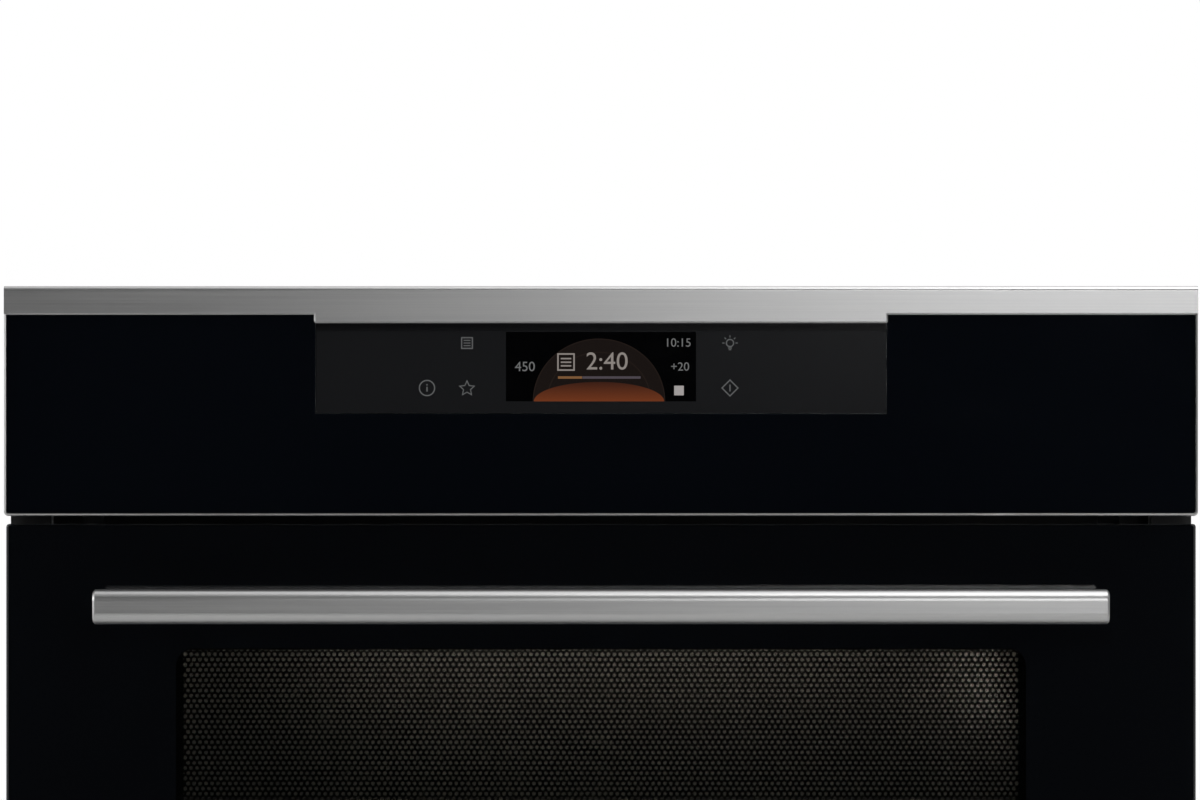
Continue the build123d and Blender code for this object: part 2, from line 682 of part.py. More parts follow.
antenna_level = chamber_floor + CHAMBER_HEIGHT / 2
with BuildPart() as antenna_shaft:
    with BuildSketch(facing_up(wave_bottom - SHAFT_SEAT + RUNNING_GAP)):
        with Locations((0, cavity_middle)):
            Circle(SHAFT_RADIUS)
    extrude(amount=antenna_level + ANTENNA_SHEET - wave_bottom + SHAFT_SEAT)
    with BuildSketch(facing_up(antenna_level - ANTENNA_SHEET * 2)):
        with Locations((0, cavity_middle)):
            RegularPolygon(ANTENNA_HUB, 6)
    extrude(amount=ANTENNA_SHEET * 2)
keep(antenna_shaft, "antenna_shaft")

with BuildPart() as antenna_plate:
    with BuildSketch(facing_up(antenna_level)):
        with Locations((0, cavity_middle)):
            RegularPolygon(ANTENNA_RADIUS, 2 * ROUND_SIDES)
            with PolarLocations(ANTENNA_RADIUS * 0.6, ANTENNA_SLOTS):
                Rectangle(ANTENNA_SLOT_WIDTH, ANTENNA_SLOT_LENGTH, mode=Mode.SUBTRACT)
            Circle(SHAFT_RADIUS + RUNNING_GAP, mode=Mode.SUBTRACT)
    extrude(amount=ANTENNA_SHEET)
keep(antenna_plate, "antenna_plate")

# Magnetron: yoke, magnets above and below, finned anode with its antenna stem, and the filter box on top
yoke_inside = wave_top + YOKE_SHEET
anode_bottom = yoke_inside + MAGNET_HEIGHT
anode_top = anode_bottom + ANODE_HEIGHT
yoke_top = anode_top + MAGNET_HEIGHT + YOKE_SHEET
with BuildPart() as magnetron_yoke:
    with BuildSketch(facing_front(magnetron_y + YOKE_DEPTH / 2)):
        rectangle(-YOKE_WIDTH / 2, YOKE_WIDTH / 2, wave_top, yoke_top)
        rectangle(
            YOKE_SHEET - YOKE_WIDTH / 2,
            YOKE_WIDTH / 2 - YOKE_SHEET,
            yoke_inside,
            yoke_top - YOKE_SHEET,
            mode=Mode.SUBTRACT,
        )
    extrude(amount=YOKE_DEPTH)
    with BuildSketch(facing_up(wave_top)):
        with Locations((0, magnetron_y)):
            Circle(STEM_RADIUS + EDGE_GAP)
    extrude(amount=YOKE_SHEET, mode=Mode.SUBTRACT)
keep(magnetron_yoke, "magnetron_yoke")

with BuildPart() as magnetron_magnets:
    with BuildSketch(facing_up(yoke_inside)):
        with Locations((0, magnetron_y)):
            RegularPolygon(MAGNET_RADIUS, ROUND_SIDES)
            RegularPolygon(MAGNET_BORE, ROUND_SIDES, mode=Mode.SUBTRACT)
    extrude(amount=MAGNET_HEIGHT)
    with BuildSketch(facing_up(anode_top)):
        with Locations((0, magnetron_y)):
            RegularPolygon(MAGNET_RADIUS, ROUND_SIDES)
    extrude(amount=MAGNET_HEIGHT)
keep(magnetron_magnets, "magnetron_magnets")

fin_pitch = ANODE_HEIGHT / (FIN_COUNT + 1)
with BuildPart() as magnetron_anode:
    with BuildSketch(facing_up(anode_bottom)):
        with Locations((0, magnetron_y)):
            RegularPolygon(ANODE_RADIUS, ROUND_SIDES)
    extrude(amount=ANODE_HEIGHT)
    with BuildSketch(facing_up(wave_top - STEM_REACH)):
        with Locations((0, magnetron_y)):
            Circle(STEM_RADIUS)
    extrude(amount=anode_bottom - wave_top + STEM_REACH)
    for fin in range(FIN_COUNT):
        with BuildSketch(facing_up(anode_bottom + (fin + 1) * fin_pitch - FIN_SHEET / 2)):
            with Locations((0, magnetron_y)):
                Rectangle(FIN_WIDTH, YOKE_DEPTH)
        extrude(amount=FIN_SHEET)
keep(magnetron_anode, "magnetron_anode")

with BuildPart() as magnetron_filter_box:
    with BuildSketch(facing_up(yoke_top)):
        with Locations((0, magnetron_y)):
            Rectangle(FILTER_WIDTH, FILTER_DEPTH)
    extrude(amount=FILTER_HEIGHT)
    with BuildSketch(facing_right(FILTER_WIDTH / 2)):
        with Locations((magnetron_y, yoke_top + FILTER_HEIGHT / 2)):
            Rectangle(FILTER_DEPTH / 2, FILTER_HEIGHT / 2)
    extrude(amount=CAPACITOR_TAB)
keep(magnetron_filter_box, "magnetron_filter_box")

# Power transformer: a laminated core with two windows, and its two windings
core_x = -(WAVEGUIDE_WIDTH / 2 + PART_SPACING + CORE_WIDTH / 2)
core_y = service_middle
limb_half = CORE_WIDTH / 2 - CORE_LIMB - WINDOW_WIDTH
window_low = BASE_SHEET + CORE_LIMB
window_high = BASE_SHEET + CORE_HEIGHT - CORE_LIMB
with BuildPart() as transformer_core:
    with BuildSketch(facing_front(core_y + CORE_STACK / 2)):
        with Locations((core_x, 0)):
            rectangle(-CORE_WIDTH / 2, CORE_WIDTH / 2, BASE_SHEET, BASE_SHEET + CORE_HEIGHT)
        for side in SIDES:
            window = sorted((core_x + side * limb_half, core_x + side * (limb_half + WINDOW_WIDTH)))
            rectangle(*window, window_low, window_high, mode=Mode.SUBTRACT)
    extrude(amount=CORE_STACK)
keep(transformer_core, "transformer_core")

winding_height = (window_high - window_low - WINDING_SPLIT) / 2 - WINDING_GAP
with BuildPart() as transformer_windings:
    for level in (window_low + WINDING_GAP, window_high - WINDING_GAP - winding_height):
        with BuildSketch(facing_up(level)) as coil:
            with Locations((core_x, core_y)):
                reach = WINDOW_WIDTH - 2 * WINDING_GAP
                Rectangle(2 * (limb_half + reach), CORE_STACK + 2 * reach)
                chamfer(coil.vertices(), WINDOW_WIDTH / 2)
                Rectangle(2 * (limb_half + WINDING_GAP), CORE_STACK + 2 * WINDING_GAP, mode=Mode.SUBTRACT)
        extrude(amount=winding_height)
keep(transformer_windings, "transformer_windings")

# High-voltage capacitor in its strap
capacitor_x = core_x - CORE_WIDTH / 2 - PART_SPACING / 2 - CAPACITOR_WIDTH / 2
with BuildPart() as hv_capacitor:
    with BuildSketch(facing_up(BASE_SHEET)):
        with Locations((capacitor_x, service_middle)):
            SlotOverall(CAPACITOR_WIDTH, CAPACITOR_DEPTH)
    extrude(amount=CAPACITOR_HEIGHT)
    with BuildSketch(facing_up(BASE_SHEET + CAPACITOR_HEIGHT)):
        with Locations((capacitor_x, service_middle)):
            with GridLocations(CAPACITOR_WIDTH / 3, 0, 2, 1):
                Rectangle(TAB_WIDTH, TAB_SHEET)
    extrude(amount=CAPACITOR_TAB)
keep(hv_capacitor, "hv_capacitor")

with BuildPart() as capacitor_strap:
    with BuildSketch(facing_up(BASE_SHEET)):
        with Locations((capacitor_x, service_middle)):
            Rectangle(CAPACITOR_WIDTH + 2 * STRAP_SHEET, CAPACITOR_DEPTH + 2 * STRAP_SHEET)
    extrude(amount=STRAP_HEIGHT)
    with BuildSketch(facing_up(BASE_SHEET)):
        with Locations((capacitor_x, service_middle - CAPACITOR_DEPTH / 2 - STRAP_FOOT / 2)):
            Rectangle(STRAP_FOOT, STRAP_FOOT)
    extrude(amount=STRAP_SHEET)
    with BuildSketch(facing_up(BASE_SHEET)):
        with Locations((capacitor_x, service_middle)):
            SlotOverall(CAPACITOR_WIDTH + 2 * RUNNING_GAP, CAPACITOR_DEPTH + 2 * RUNNING_GAP)
    extrude(amount=STRAP_HEIGHT, mode=Mode.SUBTRACT)
keep(capacitor_strap, "capacitor_strap")

# Cooling blower: a cross-flow wheel in a scroll that blows forward through the duct over the cavity
fan_inside = FAN_LENGTH / 2 + FAN_END_GAP
mouth_y = back_wall - CAVITY_FLANGE
with BuildPart() as fan_housing:
    with BuildSketch(facing_right(-fan_inside)):
        with BuildLine():
            floor_line = Line((mouth_y, roof), (fan_y, roof))
            JernArc(floor_line @ 1, floor_line % 1, fan_z - roof, FAN_SCROLL_ANGLE)
            offset(amount=FAN_SHEET, side=Side.LEFT)
        make_face()
    extrude(amount=2 * fan_inside)
    for side in SIDES:
        with BuildSketch(facing_right(side * (fan_inside + FAN_SHEET / 2) - FAN_SHEET / 2)):
            rectangle(mouth_y, fan_y + fan_z - roof, roof, fan_z)
            with Locations((fan_y, fan_z)):
                Circle(fan_z - roof)
                Circle(FAN_SHAFT_RADIUS + RUNNING_GAP, mode=Mode.SUBTRACT)
        extrude(amount=FAN_SHEET)
keep(fan_housing, "fan_housing")

blade_middle = FAN_RADIUS - FAN_BLADE_CHORD / 2
with BuildPart() as fan_wheel:
    with BuildSketch(facing_right(-FAN_LENGTH / 2 + FAN_DISC / 2)):
        with Locations((fan_y, fan_z)):
            with PolarLocations(blade_middle, FAN_BLADES):
                Rectangle(FAN_BLADE_CHORD, FAN_BLADE_SHEET, rotation=FAN_BLADE_ANGLE)
    extrude(amount=FAN_LENGTH - FAN_DISC)
    for start in (-FAN_LENGTH / 2, FAN_LENGTH / 2 - FAN_DISC):
        with BuildSketch(facing_right(start)):
            with Locations((fan_y, fan_z)):
                Circle(FAN_RADIUS)
                Circle(FAN_SHAFT_RADIUS, mode=Mode.SUBTRACT)
        extrude(amount=FAN_DISC)
keep(fan_wheel, "fan_wheel")

fan_motor_x = fan_inside + FAN_SHEET
shaft_left = -fan_inside - FAN_SHEET
shaft_right = fan_motor_x + FAN_MOTOR_STACK
with BuildPart() as fan_shaft:
    with BuildSketch(facing_right(shaft_left)):
        with Locations((fan_y, fan_z)):
            Circle(FAN_SHAFT_RADIUS)
    extrude(amount=shaft_right - shaft_left)
keep(fan_shaft, "fan_shaft")

with BuildPart() as fan_motor:
    with BuildSketch(facing_right(fan_motor_x)):
        with Locations((fan_y, fan_z)):
            Rectangle(FAN_MOTOR_WIDTH, FAN_MOTOR_WIDTH)
        rectangle(
            fan_y - FAN_MOTOR_WIDTH / 4,
            fan_y + FAN_MOTOR_WIDTH / 4,
            fan_z,
            fan_z + FAN_MOTOR_HEIGHT - FAN_MOTOR_WIDTH / 2,
        )
        with Locations((fan_y, fan_z)):
            Circle(FAN_SHAFT_RADIUS + RUNNING_GAP, mode=Mode.SUBTRACT)
    extrude(amount=FAN_MOTOR_STACK)
keep(fan_motor, "fan_motor")

# Air duct over the cavity roof, with the raised feet that carry the power board
board_x = -DUCT_WIDTH / 4
board_y = cavity_middle - POWER_BOARD_DEPTH / 2
duct_back = mouth_y - FIT_GAP
with BuildPart() as air_duct:
    with BuildSketch(facing_front(duct_back)):
        rectangle(-DUCT_WIDTH / 2, DUCT_WIDTH / 2, roof, duct_top)
        duct_inside = DUCT_WIDTH / 2 - DUCT_SHEET
        rectangle(-duct_inside, duct_inside, roof, duct_top - DUCT_SHEET, mode=Mode.SUBTRACT)
        for side in SIDES:
            foot = across(side, duct_inside, DUCT_WIDTH / 2 + DUCT_FLANGE)
            rectangle(*foot, roof, roof + DUCT_SHEET)
    extrude(amount=duct_back - frame_back - CAVITY_SHEET)
    with BuildSketch(facing_up(duct_top)):
        with Locations((board_x, board_y)):
            with GridLocations(
                POWER_BOARD_WIDTH - 2 * STANDOFF_WIDTH, POWER_BOARD_DEPTH - 2 * STANDOFF_WIDTH, 2, 2
            ):
                Rectangle(STANDOFF_WIDTH, STANDOFF_WIDTH)
    extrude(amount=STANDOFF_HEIGHT)
keep(air_duct, "air_duct")

# Power board with its relays, smoothing parts and connector row
board_level = duct_top + STANDOFF_HEIGHT
with BuildPart() as power_board:
    with BuildSketch(facing_up(board_level)):
        with Locations((board_x, board_y)):
            Rectangle(POWER_BOARD_WIDTH, POWER_BOARD_DEPTH)
    extrude(amount=BOARD_THICKNESS)
    on_board = board_level + BOARD_THICKNESS
    with BuildSketch(facing_up(on_board)):
        with Locations((board_x - POWER_BOARD_WIDTH / 4, board_y)):
            with GridLocations(POWER_BOARD_WIDTH / 6, 0, 3, 1):
                Rectangle(POWER_BOARD_WIDTH / 8, POWER_BOARD_DEPTH / 4)
    extrude(amount=RELAY_HEIGHT)
    with BuildSketch(facing_up(on_board)):
        with Locations((board_x + POWER_BOARD_WIDTH / 4, board_y)):
            Rectangle(POWER_BOARD_WIDTH / 4, POWER_BOARD_DEPTH / 3)
    extrude(amount=CHOKE_COIL_HEIGHT)
    with BuildSketch(facing_up(on_board)):
        with Locations((board_x, board_y + POWER_BOARD_DEPTH / 3)):
            with GridLocations(POWER_BOARD_WIDTH / 5, 0, 4, 1):
                Rectangle(POWER_BOARD_WIDTH / 7, POWER_BOARD_DEPTH / 10)
    extrude(amount=PLUG_ROW_HEIGHT)
    with BuildSketch(facing_up(on_board)):
        with Locations((board_x, board_y - POWER_BOARD_DEPTH / 3)):
            with GridLocations(POWER_BOARD_WIDTH / 4, 0, 2, 1):
                Circle(POWER_BOARD_DEPTH / 12)
    extrude(amount=SMOOTHER_HEIGHT)
keep(power_board, "power_board")

# Thermal cut-outs on the cavity roof, either side of the duct
cutout_x = DUCT_WIDTH / 2 + DUCT_FLANGE + 3 * CUTOUT_RADIUS
with BuildPart() as thermal_cutouts:
    for side in SIDES:
        with BuildSketch(facing_up(roof)):
            with Locations((side * cutout_x, cavity_middle)):
                Rectangle(1.2 * CUTOUT_RADIUS, 4 * CUTOUT_RADIUS)
        extrude(amount=DUCT_SHEET)
        with BuildSketch(facing_up(roof)):
            with Locations((side * cutout_x, cavity_middle)):
                RegularPolygon(CUTOUT_RADIUS, ROUND_SIDES)
        extrude(amount=CUTOUT_HEIGHT)
keep(thermal_cutouts, "thermal_cutouts")

# Mains entry: a terminal block inside the rear panel and the cable gland through it
with BuildPart() as terminal_block:
    with BuildSketch(facing_front(rear_inside)):
        with Locations((MAINS_OFFSET, TERMINAL_LEVEL)):
            Rectangle(TERMINAL_WIDTH, TERMINAL_HEIGHT)
    extrude(amount=TERMINAL_DEPTH)
    with BuildSketch(facing_front(rear_inside - TERMINAL_DEPTH / 2)):
        with Locations((MAINS_OFFSET, TERMINAL_LEVEL)):
            with GridLocations(TERMINAL_WIDTH / 3, 0, 3, 1):
                Rectangle(TERMINAL_WIDTH / 5, TERMINAL_HEIGHT * 0.7)
    extrude(amount=TERMINAL_DEPTH / 2, mode=Mode.SUBTRACT)
keep(terminal_block, "terminal_block")

with BuildPart() as cable_gland:
    for start in (rear + GLAND_FLANGE_DEPTH, rear_inside):
        with BuildSketch(facing_front(start)):
            with Locations((MAINS_OFFSET, GLAND_LEVEL)):
                RegularPolygon(GLAND_FLANGE, 6)
        extrude(amount=GLAND_FLANGE_DEPTH)
    with BuildSketch(facing_front(rear)):
        with Locations((MAINS_OFFSET, GLAND_LEVEL)):
            Circle(GLAND_RADIUS - RUNNING_GAP)
    extrude(amount=REAR_SHEET)
    with BuildSketch(facing_front(rear + GLAND_FLANGE_DEPTH)):
        with Locations((MAINS_OFFSET, GLAND_LEVEL)):
            Circle(GLAND_BORE)
    extrude(amount=2 * GLAND_FLANGE_DEPTH + REAR_SHEET, mode=Mode.SUBTRACT)
keep(cable_gland, "cable_gland")

# Door latch interlocks behind the front frame: brackets, switches, plungers and rocking levers
hook_tip = profile_back + HOOK_REACH
lever_front = hook_tip + FIT_GAP
lever_back = lever_front + LEVER_THICKNESS
lever_top = hook_bottom + HOOK_HEIGHT + 2 * EDGE_GAP
lever_bottom = lever_top - LEVER_HEIGHT
lever_pivot_y = (lever_front + lever_back) / 2
lever_pivot_z = lever_bottom + LEVER_PIVOT_RISE
web_top = lever_bottom - 2 * EDGE_GAP
switch_front = lever_back + SWITCH_STANDOFF
switch_back = switch_front + SWITCH_DEPTH
contact_z = lever_top - LEVER_CONTACT_DROP
with BuildPart() as interlock_brackets:
    for side in SIDES:
        for cheek in SIDES:
            inner, outer = sorted((cheek * cheek_inner, cheek * (cheek_inner + CHEEK)))
            with BuildSketch(facing_right(side * latch_x + inner)):
                rectangle(frame_back, switch_back, web_top - CHEEK, lever_top + 2 * EDGE_GAP)
                with Locations((lever_pivot_y, lever_pivot_z)):
                    Circle(TRUNNION_RADIUS + RUNNING_GAP, mode=Mode.SUBTRACT)
            extrude(amount=outer - inner)
        with BuildSketch(facing_up(web_top - CHEEK)):
            with Locations((side * latch_x, 0)):
                rectangle(-cheek_inner, cheek_inner, frame_back, switch_back)
        extrude(amount=CHEEK)
keep(interlock_brackets, "interlock_brackets")

with BuildPart() as interlock_switches:
    for side in SIDES:
        with BuildSketch(facing_up(web_top)):
            with Locations((side * latch_x, 0)):
                rectangle(-cheek_inner, cheek_inner, switch_front, switch_back)
        extrude(amount=SWITCH_HEIGHT)
        with BuildSketch(facing_front(switch_front + PLUNGER_REST + SWITCH_STANDOFF)):
            with Locations((side * latch_x, contact_z)):
                Circle(PLUNGER_RADIUS + RUNNING_GAP)
        extrude(amount=PLUNGER_REST + SWITCH_STANDOFF, mode=Mode.SUBTRACT)
keep(interlock_switches, "interlock_switches")

with BuildPart() as switch_plungers:
    for side in SIDES:
        with BuildSketch(facing_front(switch_front + PLUNGER_REST)):
            with Locations((side * latch_x, contact_z)):
                Circle(PLUNGER_RADIUS)
        extrude(amount=PLUNGER_REST + SWITCH_STANDOFF - FIT_GAP)
keep(switch_plungers, "switch_plungers")

for side in SIDES:
    with BuildPart() as latch_lever:
        with BuildSketch(facing_right(side * latch_x - HOOK_WIDTH / 2 - HOOK_SIDE_GAP / 2)):
            rectangle(lever_front, lever_back, lever_bottom, lever_top)
        extrude(amount=HOOK_WIDTH + HOOK_SIDE_GAP)
        with BuildSketch(facing_right(side * latch_x - cheek_inner - CHEEK)):
            with Locations((lever_pivot_y, lever_pivot_z)):
                Circle(TRUNNION_RADIUS)
        extrude(amount=2 * (cheek_inner + CHEEK))
    keep(latch_lever, f"latch_lever_{SIDE_NAMES[side]}")

# Hinge arms: eyes in front of the frame, feet riveted behind it
with BuildPart() as hinge_arms:
    for side in SIDES:
        with BuildSketch(facing_right(side * hinge_x - ARM_THICKNESS / 2)):
            rectangle(pivot_y, frame_back + FOOT_SHEET, pivot_z - eye_radius, pivot_z + eye_radius)
            with Locations((pivot_y, pivot_z)):
                Circle(eye_radius)
                Circle(PIVOT_RADIUS + RUNNING_GAP, mode=Mode.SUBTRACT)
        extrude(amount=ARM_THICKNESS)
        with BuildSketch(facing_front(frame_back + FOOT_SHEET)):
            with Locations((side * hinge_x, pivot_z - eye_radius + FOOT_HEIGHT / 2)):
                Rectangle(HINGE_WIDTH, FOOT_HEIGHT)
        extrude(amount=FOOT_SHEET)
keep(hinge_arms, "hinge_arms")

# Hinge cassettes in the door's lower corners, slotted for the arms, and their pins
with BuildPart() as hinge_cassettes:
    for side in SIDES:
        with BuildSketch(facing_right(side * hinge_x - HINGE_WIDTH / 2)):
            rectangle(glass_back, profile_back, rail_bottom, pan_bottom)
            with Locations((pivot_y, pivot_z)):
                Circle(PIVOT_RADIUS, mode=Mode.SUBTRACT)
        extrude(amount=HINGE_WIDTH)
        block(
            side * hinge_x - arm_slot_half,
            side * hinge_x + arm_slot_half,
            glass_back,
            profile_back,
            rail_bottom,
            pivot_z + PIVOT_SETBACK,
            mode=Mode.SUBTRACT,
        )
    lower_back = hinge_cassettes.edges().filter_by(Axis.X).group_by(Axis.Z)[0].group_by(Axis.Y)[-1]
    chamfer(lower_back, PROFILE_CHAMFER)
keep(hinge_cassettes, "hinge_cassettes")

with BuildPart() as hinge_pins:
    for side in SIDES:
        with BuildSketch(facing_right(side * hinge_x - HINGE_WIDTH / 2)):
            with Locations((pivot_y, pivot_z)):
                Circle(PIVOT_RADIUS)
        extrude(amount=HINGE_WIDTH)
keep(hinge_pins, "hinge_pins")

# Fascia carrier: a steel tray whose thin lip shows round the fascia glass
carrier_top = front_top - TRIM_SHEET
touch_top = front_top - TRIM_HEIGHT - TRIM_DROP + TOUCH_TUCK
touch_bottom = front_top - TRIM_HEIGHT - TRIM_DROP - TOUCH_HEIGHT
touch_half = TOUCH_WIDTH / 2
module_back = glass_back + DISPLAY_DEPTH
plate_back = glass_back + CARRIER_SHEET
boss_x = touch_half + CONTROL_BOARD_MARGIN / 2
board_half = touch_half + CONTROL_BOARD_MARGIN
with BuildPart() as fascia_carrier:
    with BuildSketch(facing_front(flange_front)):
        rectangle(-front_half, front_half, fascia_bottom, carrier_top)
        rectangle(
            CARRIER_LIP - front_half,
            front_half - CARRIER_LIP,
            fascia_bottom + CARRIER_BOTTOM_LIP,
            carrier_top - CARRIER_LIP,
            mode=Mode.SUBTRACT,
        )
    extrude(amount=flange_front - front_face)
    with BuildSketch(facing_front(plate_back)):
        rectangle(-front_half, front_half, fascia_bottom, carrier_top)
        rectangle(
            SUPPORT_BORDER - touch_half,
            touch_half - SUPPORT_BORDER,
            touch_bottom + SUPPORT_BORDER,
            touch_top - SUPPORT_BORDER,
            mode=Mode.SUBTRACT,
        )
    extrude(amount=CARRIER_SHEET)
    for side in SIDES:
        with BuildSketch(facing_front(flange_front)):
            rectangle(*across(side, front_half - CARRIER_FLANGE, front_half), fascia_bottom, carrier_top)
        extrude(amount=CARRIER_SHEET)
    with BuildSketch(facing_front(module_back)):
        with Locations((0, (touch_bottom + touch_top) / 2)):
            with GridLocations(2 * boss_x, TOUCH_HEIGHT * 0.6, 2, 2):
                Rectangle(STANDOFF_WIDTH, STANDOFF_WIDTH)
    extrude(amount=DISPLAY_DEPTH - CARRIER_SHEET)
    lower_edges = fascia_carrier.edges().filter_by(Axis.Y).group_by(Axis.Z)[0]
    outer_corners = lower_edges.filter_by(lambda edge: abs(edge.center().X) > front_half - CARRIER_LIP / 2)
    fillet(outer_corners, CARRIER_CORNER)
keep(fascia_carrier, "fascia_carrier")

# Steel top trim: folded over the fascia's top edge, stepped down over the touch panel
drop_half = TRIM_DROP_WIDTH / 2
with BuildPart() as top_trim:
    with BuildSketch(facing_front(front_face)) as trim_face:
        rectangle(-front_half, front_half, front_top - TRIM_HEIGHT, front_top)
        rectangle(-drop_half, drop_half, front_top - TRIM_HEIGHT - TRIM_DROP, front_top)
        fillet(trim_face.vertices().group_by(Axis.Y)[0], TRIM_CORNER)
    extrude(amount=TRIM_SHEET)
    front_edges = top_trim.faces().sort_by(Axis.Y)[0].edges()
    lower_edges = front_edges.filter_by(lambda edge: edge.center().Z < front_top - TRIM_HEIGHT * 0.6)
    chamfer(lower_edges, TRIM_BEVEL)
    with BuildSketch(facing_front(flange_front)):
        rectangle(-front_half, front_half, front_top - TRIM_SHEET, front_top)
    extrude(amount=flange_front - front_face)
    bend = top_trim.edges().filter_by(Axis.X).group_by(Axis.Z)[-1].sort_by(Axis.Y)[0]
    fillet(bend, TRIM_BEND)
keep(top_trim, "top_trim")

# Black fascia glass with the cut-out for the touch panel
with BuildPart() as fascia_glass:
    with BuildSketch(facing_front(glass_back)) as glass_outline:
        rectangle(
            FIT_GAP / 3 - glass_half,
            glass_half - FIT_GAP / 3,
            fascia_bottom + CARRIER_BOTTOM_LIP + FIT_GAP / 3,
            carrier_top - CARRIER_LIP - FIT_GAP / 3,
        )
        fillet(glass_outline.vertices().group_by(Axis.Y)[0], GLASS_CORNER)
    extrude(amount=GLASS_THICKNESS)
    chamfer(fascia_glass.faces().sort_by(Axis.Y)[0].edges(), GLASS_BEVEL)
    with BuildSketch(facing_front(glass_back)):
        rectangle(
            -touch_half - TOUCH_GAP, touch_half + TOUCH_GAP, touch_bottom - TOUCH_GAP, touch_top + TOUCH_GAP
        )
    extrude(amount=GLASS_THICKNESS, mode=Mode.SUBTRACT)
keep(fascia_glass, "fascia_glass")

# Touch panel and the display that shows through its window
display_top = front_top - DISPLAY_DROP
display_bottom = display_top - DISPLAY_HEIGHT
with BuildPart() as touch_panel:
    with BuildSketch(facing_front(glass_back)):
        rectangle(-touch_half, touch_half, touch_bottom, touch_top)
    extrude(amount=GLASS_THICKNESS - TOUCH_RECESS)
    chamfer(touch_panel.faces().sort_by(Axis.Y)[0].edges(), TOUCH_GAP)
    with BuildSketch(facing_front(glass_back)):
        rectangle(-DISPLAY_WIDTH / 2, DISPLAY_WIDTH / 2, display_bottom, display_top)
    extrude(amount=GLASS_THICKNESS, mode=Mode.SUBTRACT)
keep(touch_panel, "touch_panel")

with BuildPart() as display_module:
    with BuildSketch(facing_front(module_back)):
        rectangle(
            -DISPLAY_WIDTH / 2 - DISPLAY_BORDER,
            DISPLAY_WIDTH / 2 + DISPLAY_BORDER,
            display_bottom - DISPLAY_BORDER,
            display_top + DISPLAY_BORDER / 3,
        )
    extrude(amount=DISPLAY_DEPTH)
    with BuildSketch(facing_front(glass_back)):
        rectangle(
            TOUCH_GAP / 2 - DISPLAY_WIDTH / 2,
            DISPLAY_WIDTH / 2 - TOUCH_GAP / 2,
            display_bottom + TOUCH_GAP / 2,
            display_top - TOUCH_GAP / 2,
        )
    extrude(amount=GLASS_THICKNESS - TOUCH_RECESS - DISPLAY_RECESS)
keep(display_module, "display_module")

# Control board screwed to the carrier's bosses behind the display
board_front = module_back + BOARD_THICKNESS
with BuildPart() as control_board:
    with BuildSketch(facing_front(board_front)):
        with Locations((0, (touch_bottom + touch_top) / 2)):
            Rectangle(2 * board_half, TOUCH_HEIGHT + CONTROL_BOARD_MARGIN)
    extrude(amount=BOARD_THICKNESS)
    with BuildSketch(facing_front(board_front + CHIP_HEIGHT)):
        with Locations((0, (touch_bottom + touch_top) / 2)):
            with GridLocations(TOUCH_WIDTH / 4, 0, 3, 1):
                Rectangle(TOUCH_HEIGHT / 2, TOUCH_HEIGHT / 3)
    extrude(amount=CHIP_HEIGHT)
    with BuildSketch(facing_front(board_front + PLUG_HEIGHT)):
        with Locations((board_half * 0.75, (touch_bottom + touch_top) / 2)):
            Rectangle(TOUCH_HEIGHT / 3, TOUCH_HEIGHT * 0.6)
    extrude(amount=PLUG_HEIGHT)
keep(control_board, "control_board")

# Door glass with the two holes for the handle screws
handle_z = door_top - HANDLE_DROP
post_places = [(side * POST_SPREAD / 2, handle_z) for side in SIDES]
with BuildPart() as door_glass:
    with BuildSketch(facing_front(glass_back)) as door_outline:
        rectangle(-glass_half, glass_half, door_bottom, door_top)
        fillet(door_outline.vertices(), GLASS_CORNER)
        with Locations(*post_places):
            Circle(GLASS_HOLE_RADIUS, mode=Mode.SUBTRACT)
    extrude(amount=GLASS_THICKNESS)
    outer_rim = door_glass.faces().sort_by(Axis.Y)[0].outer_wire().edges()
    chamfer(outer_rim, GLASS_BEVEL)
keep(door_glass, "door_glass")

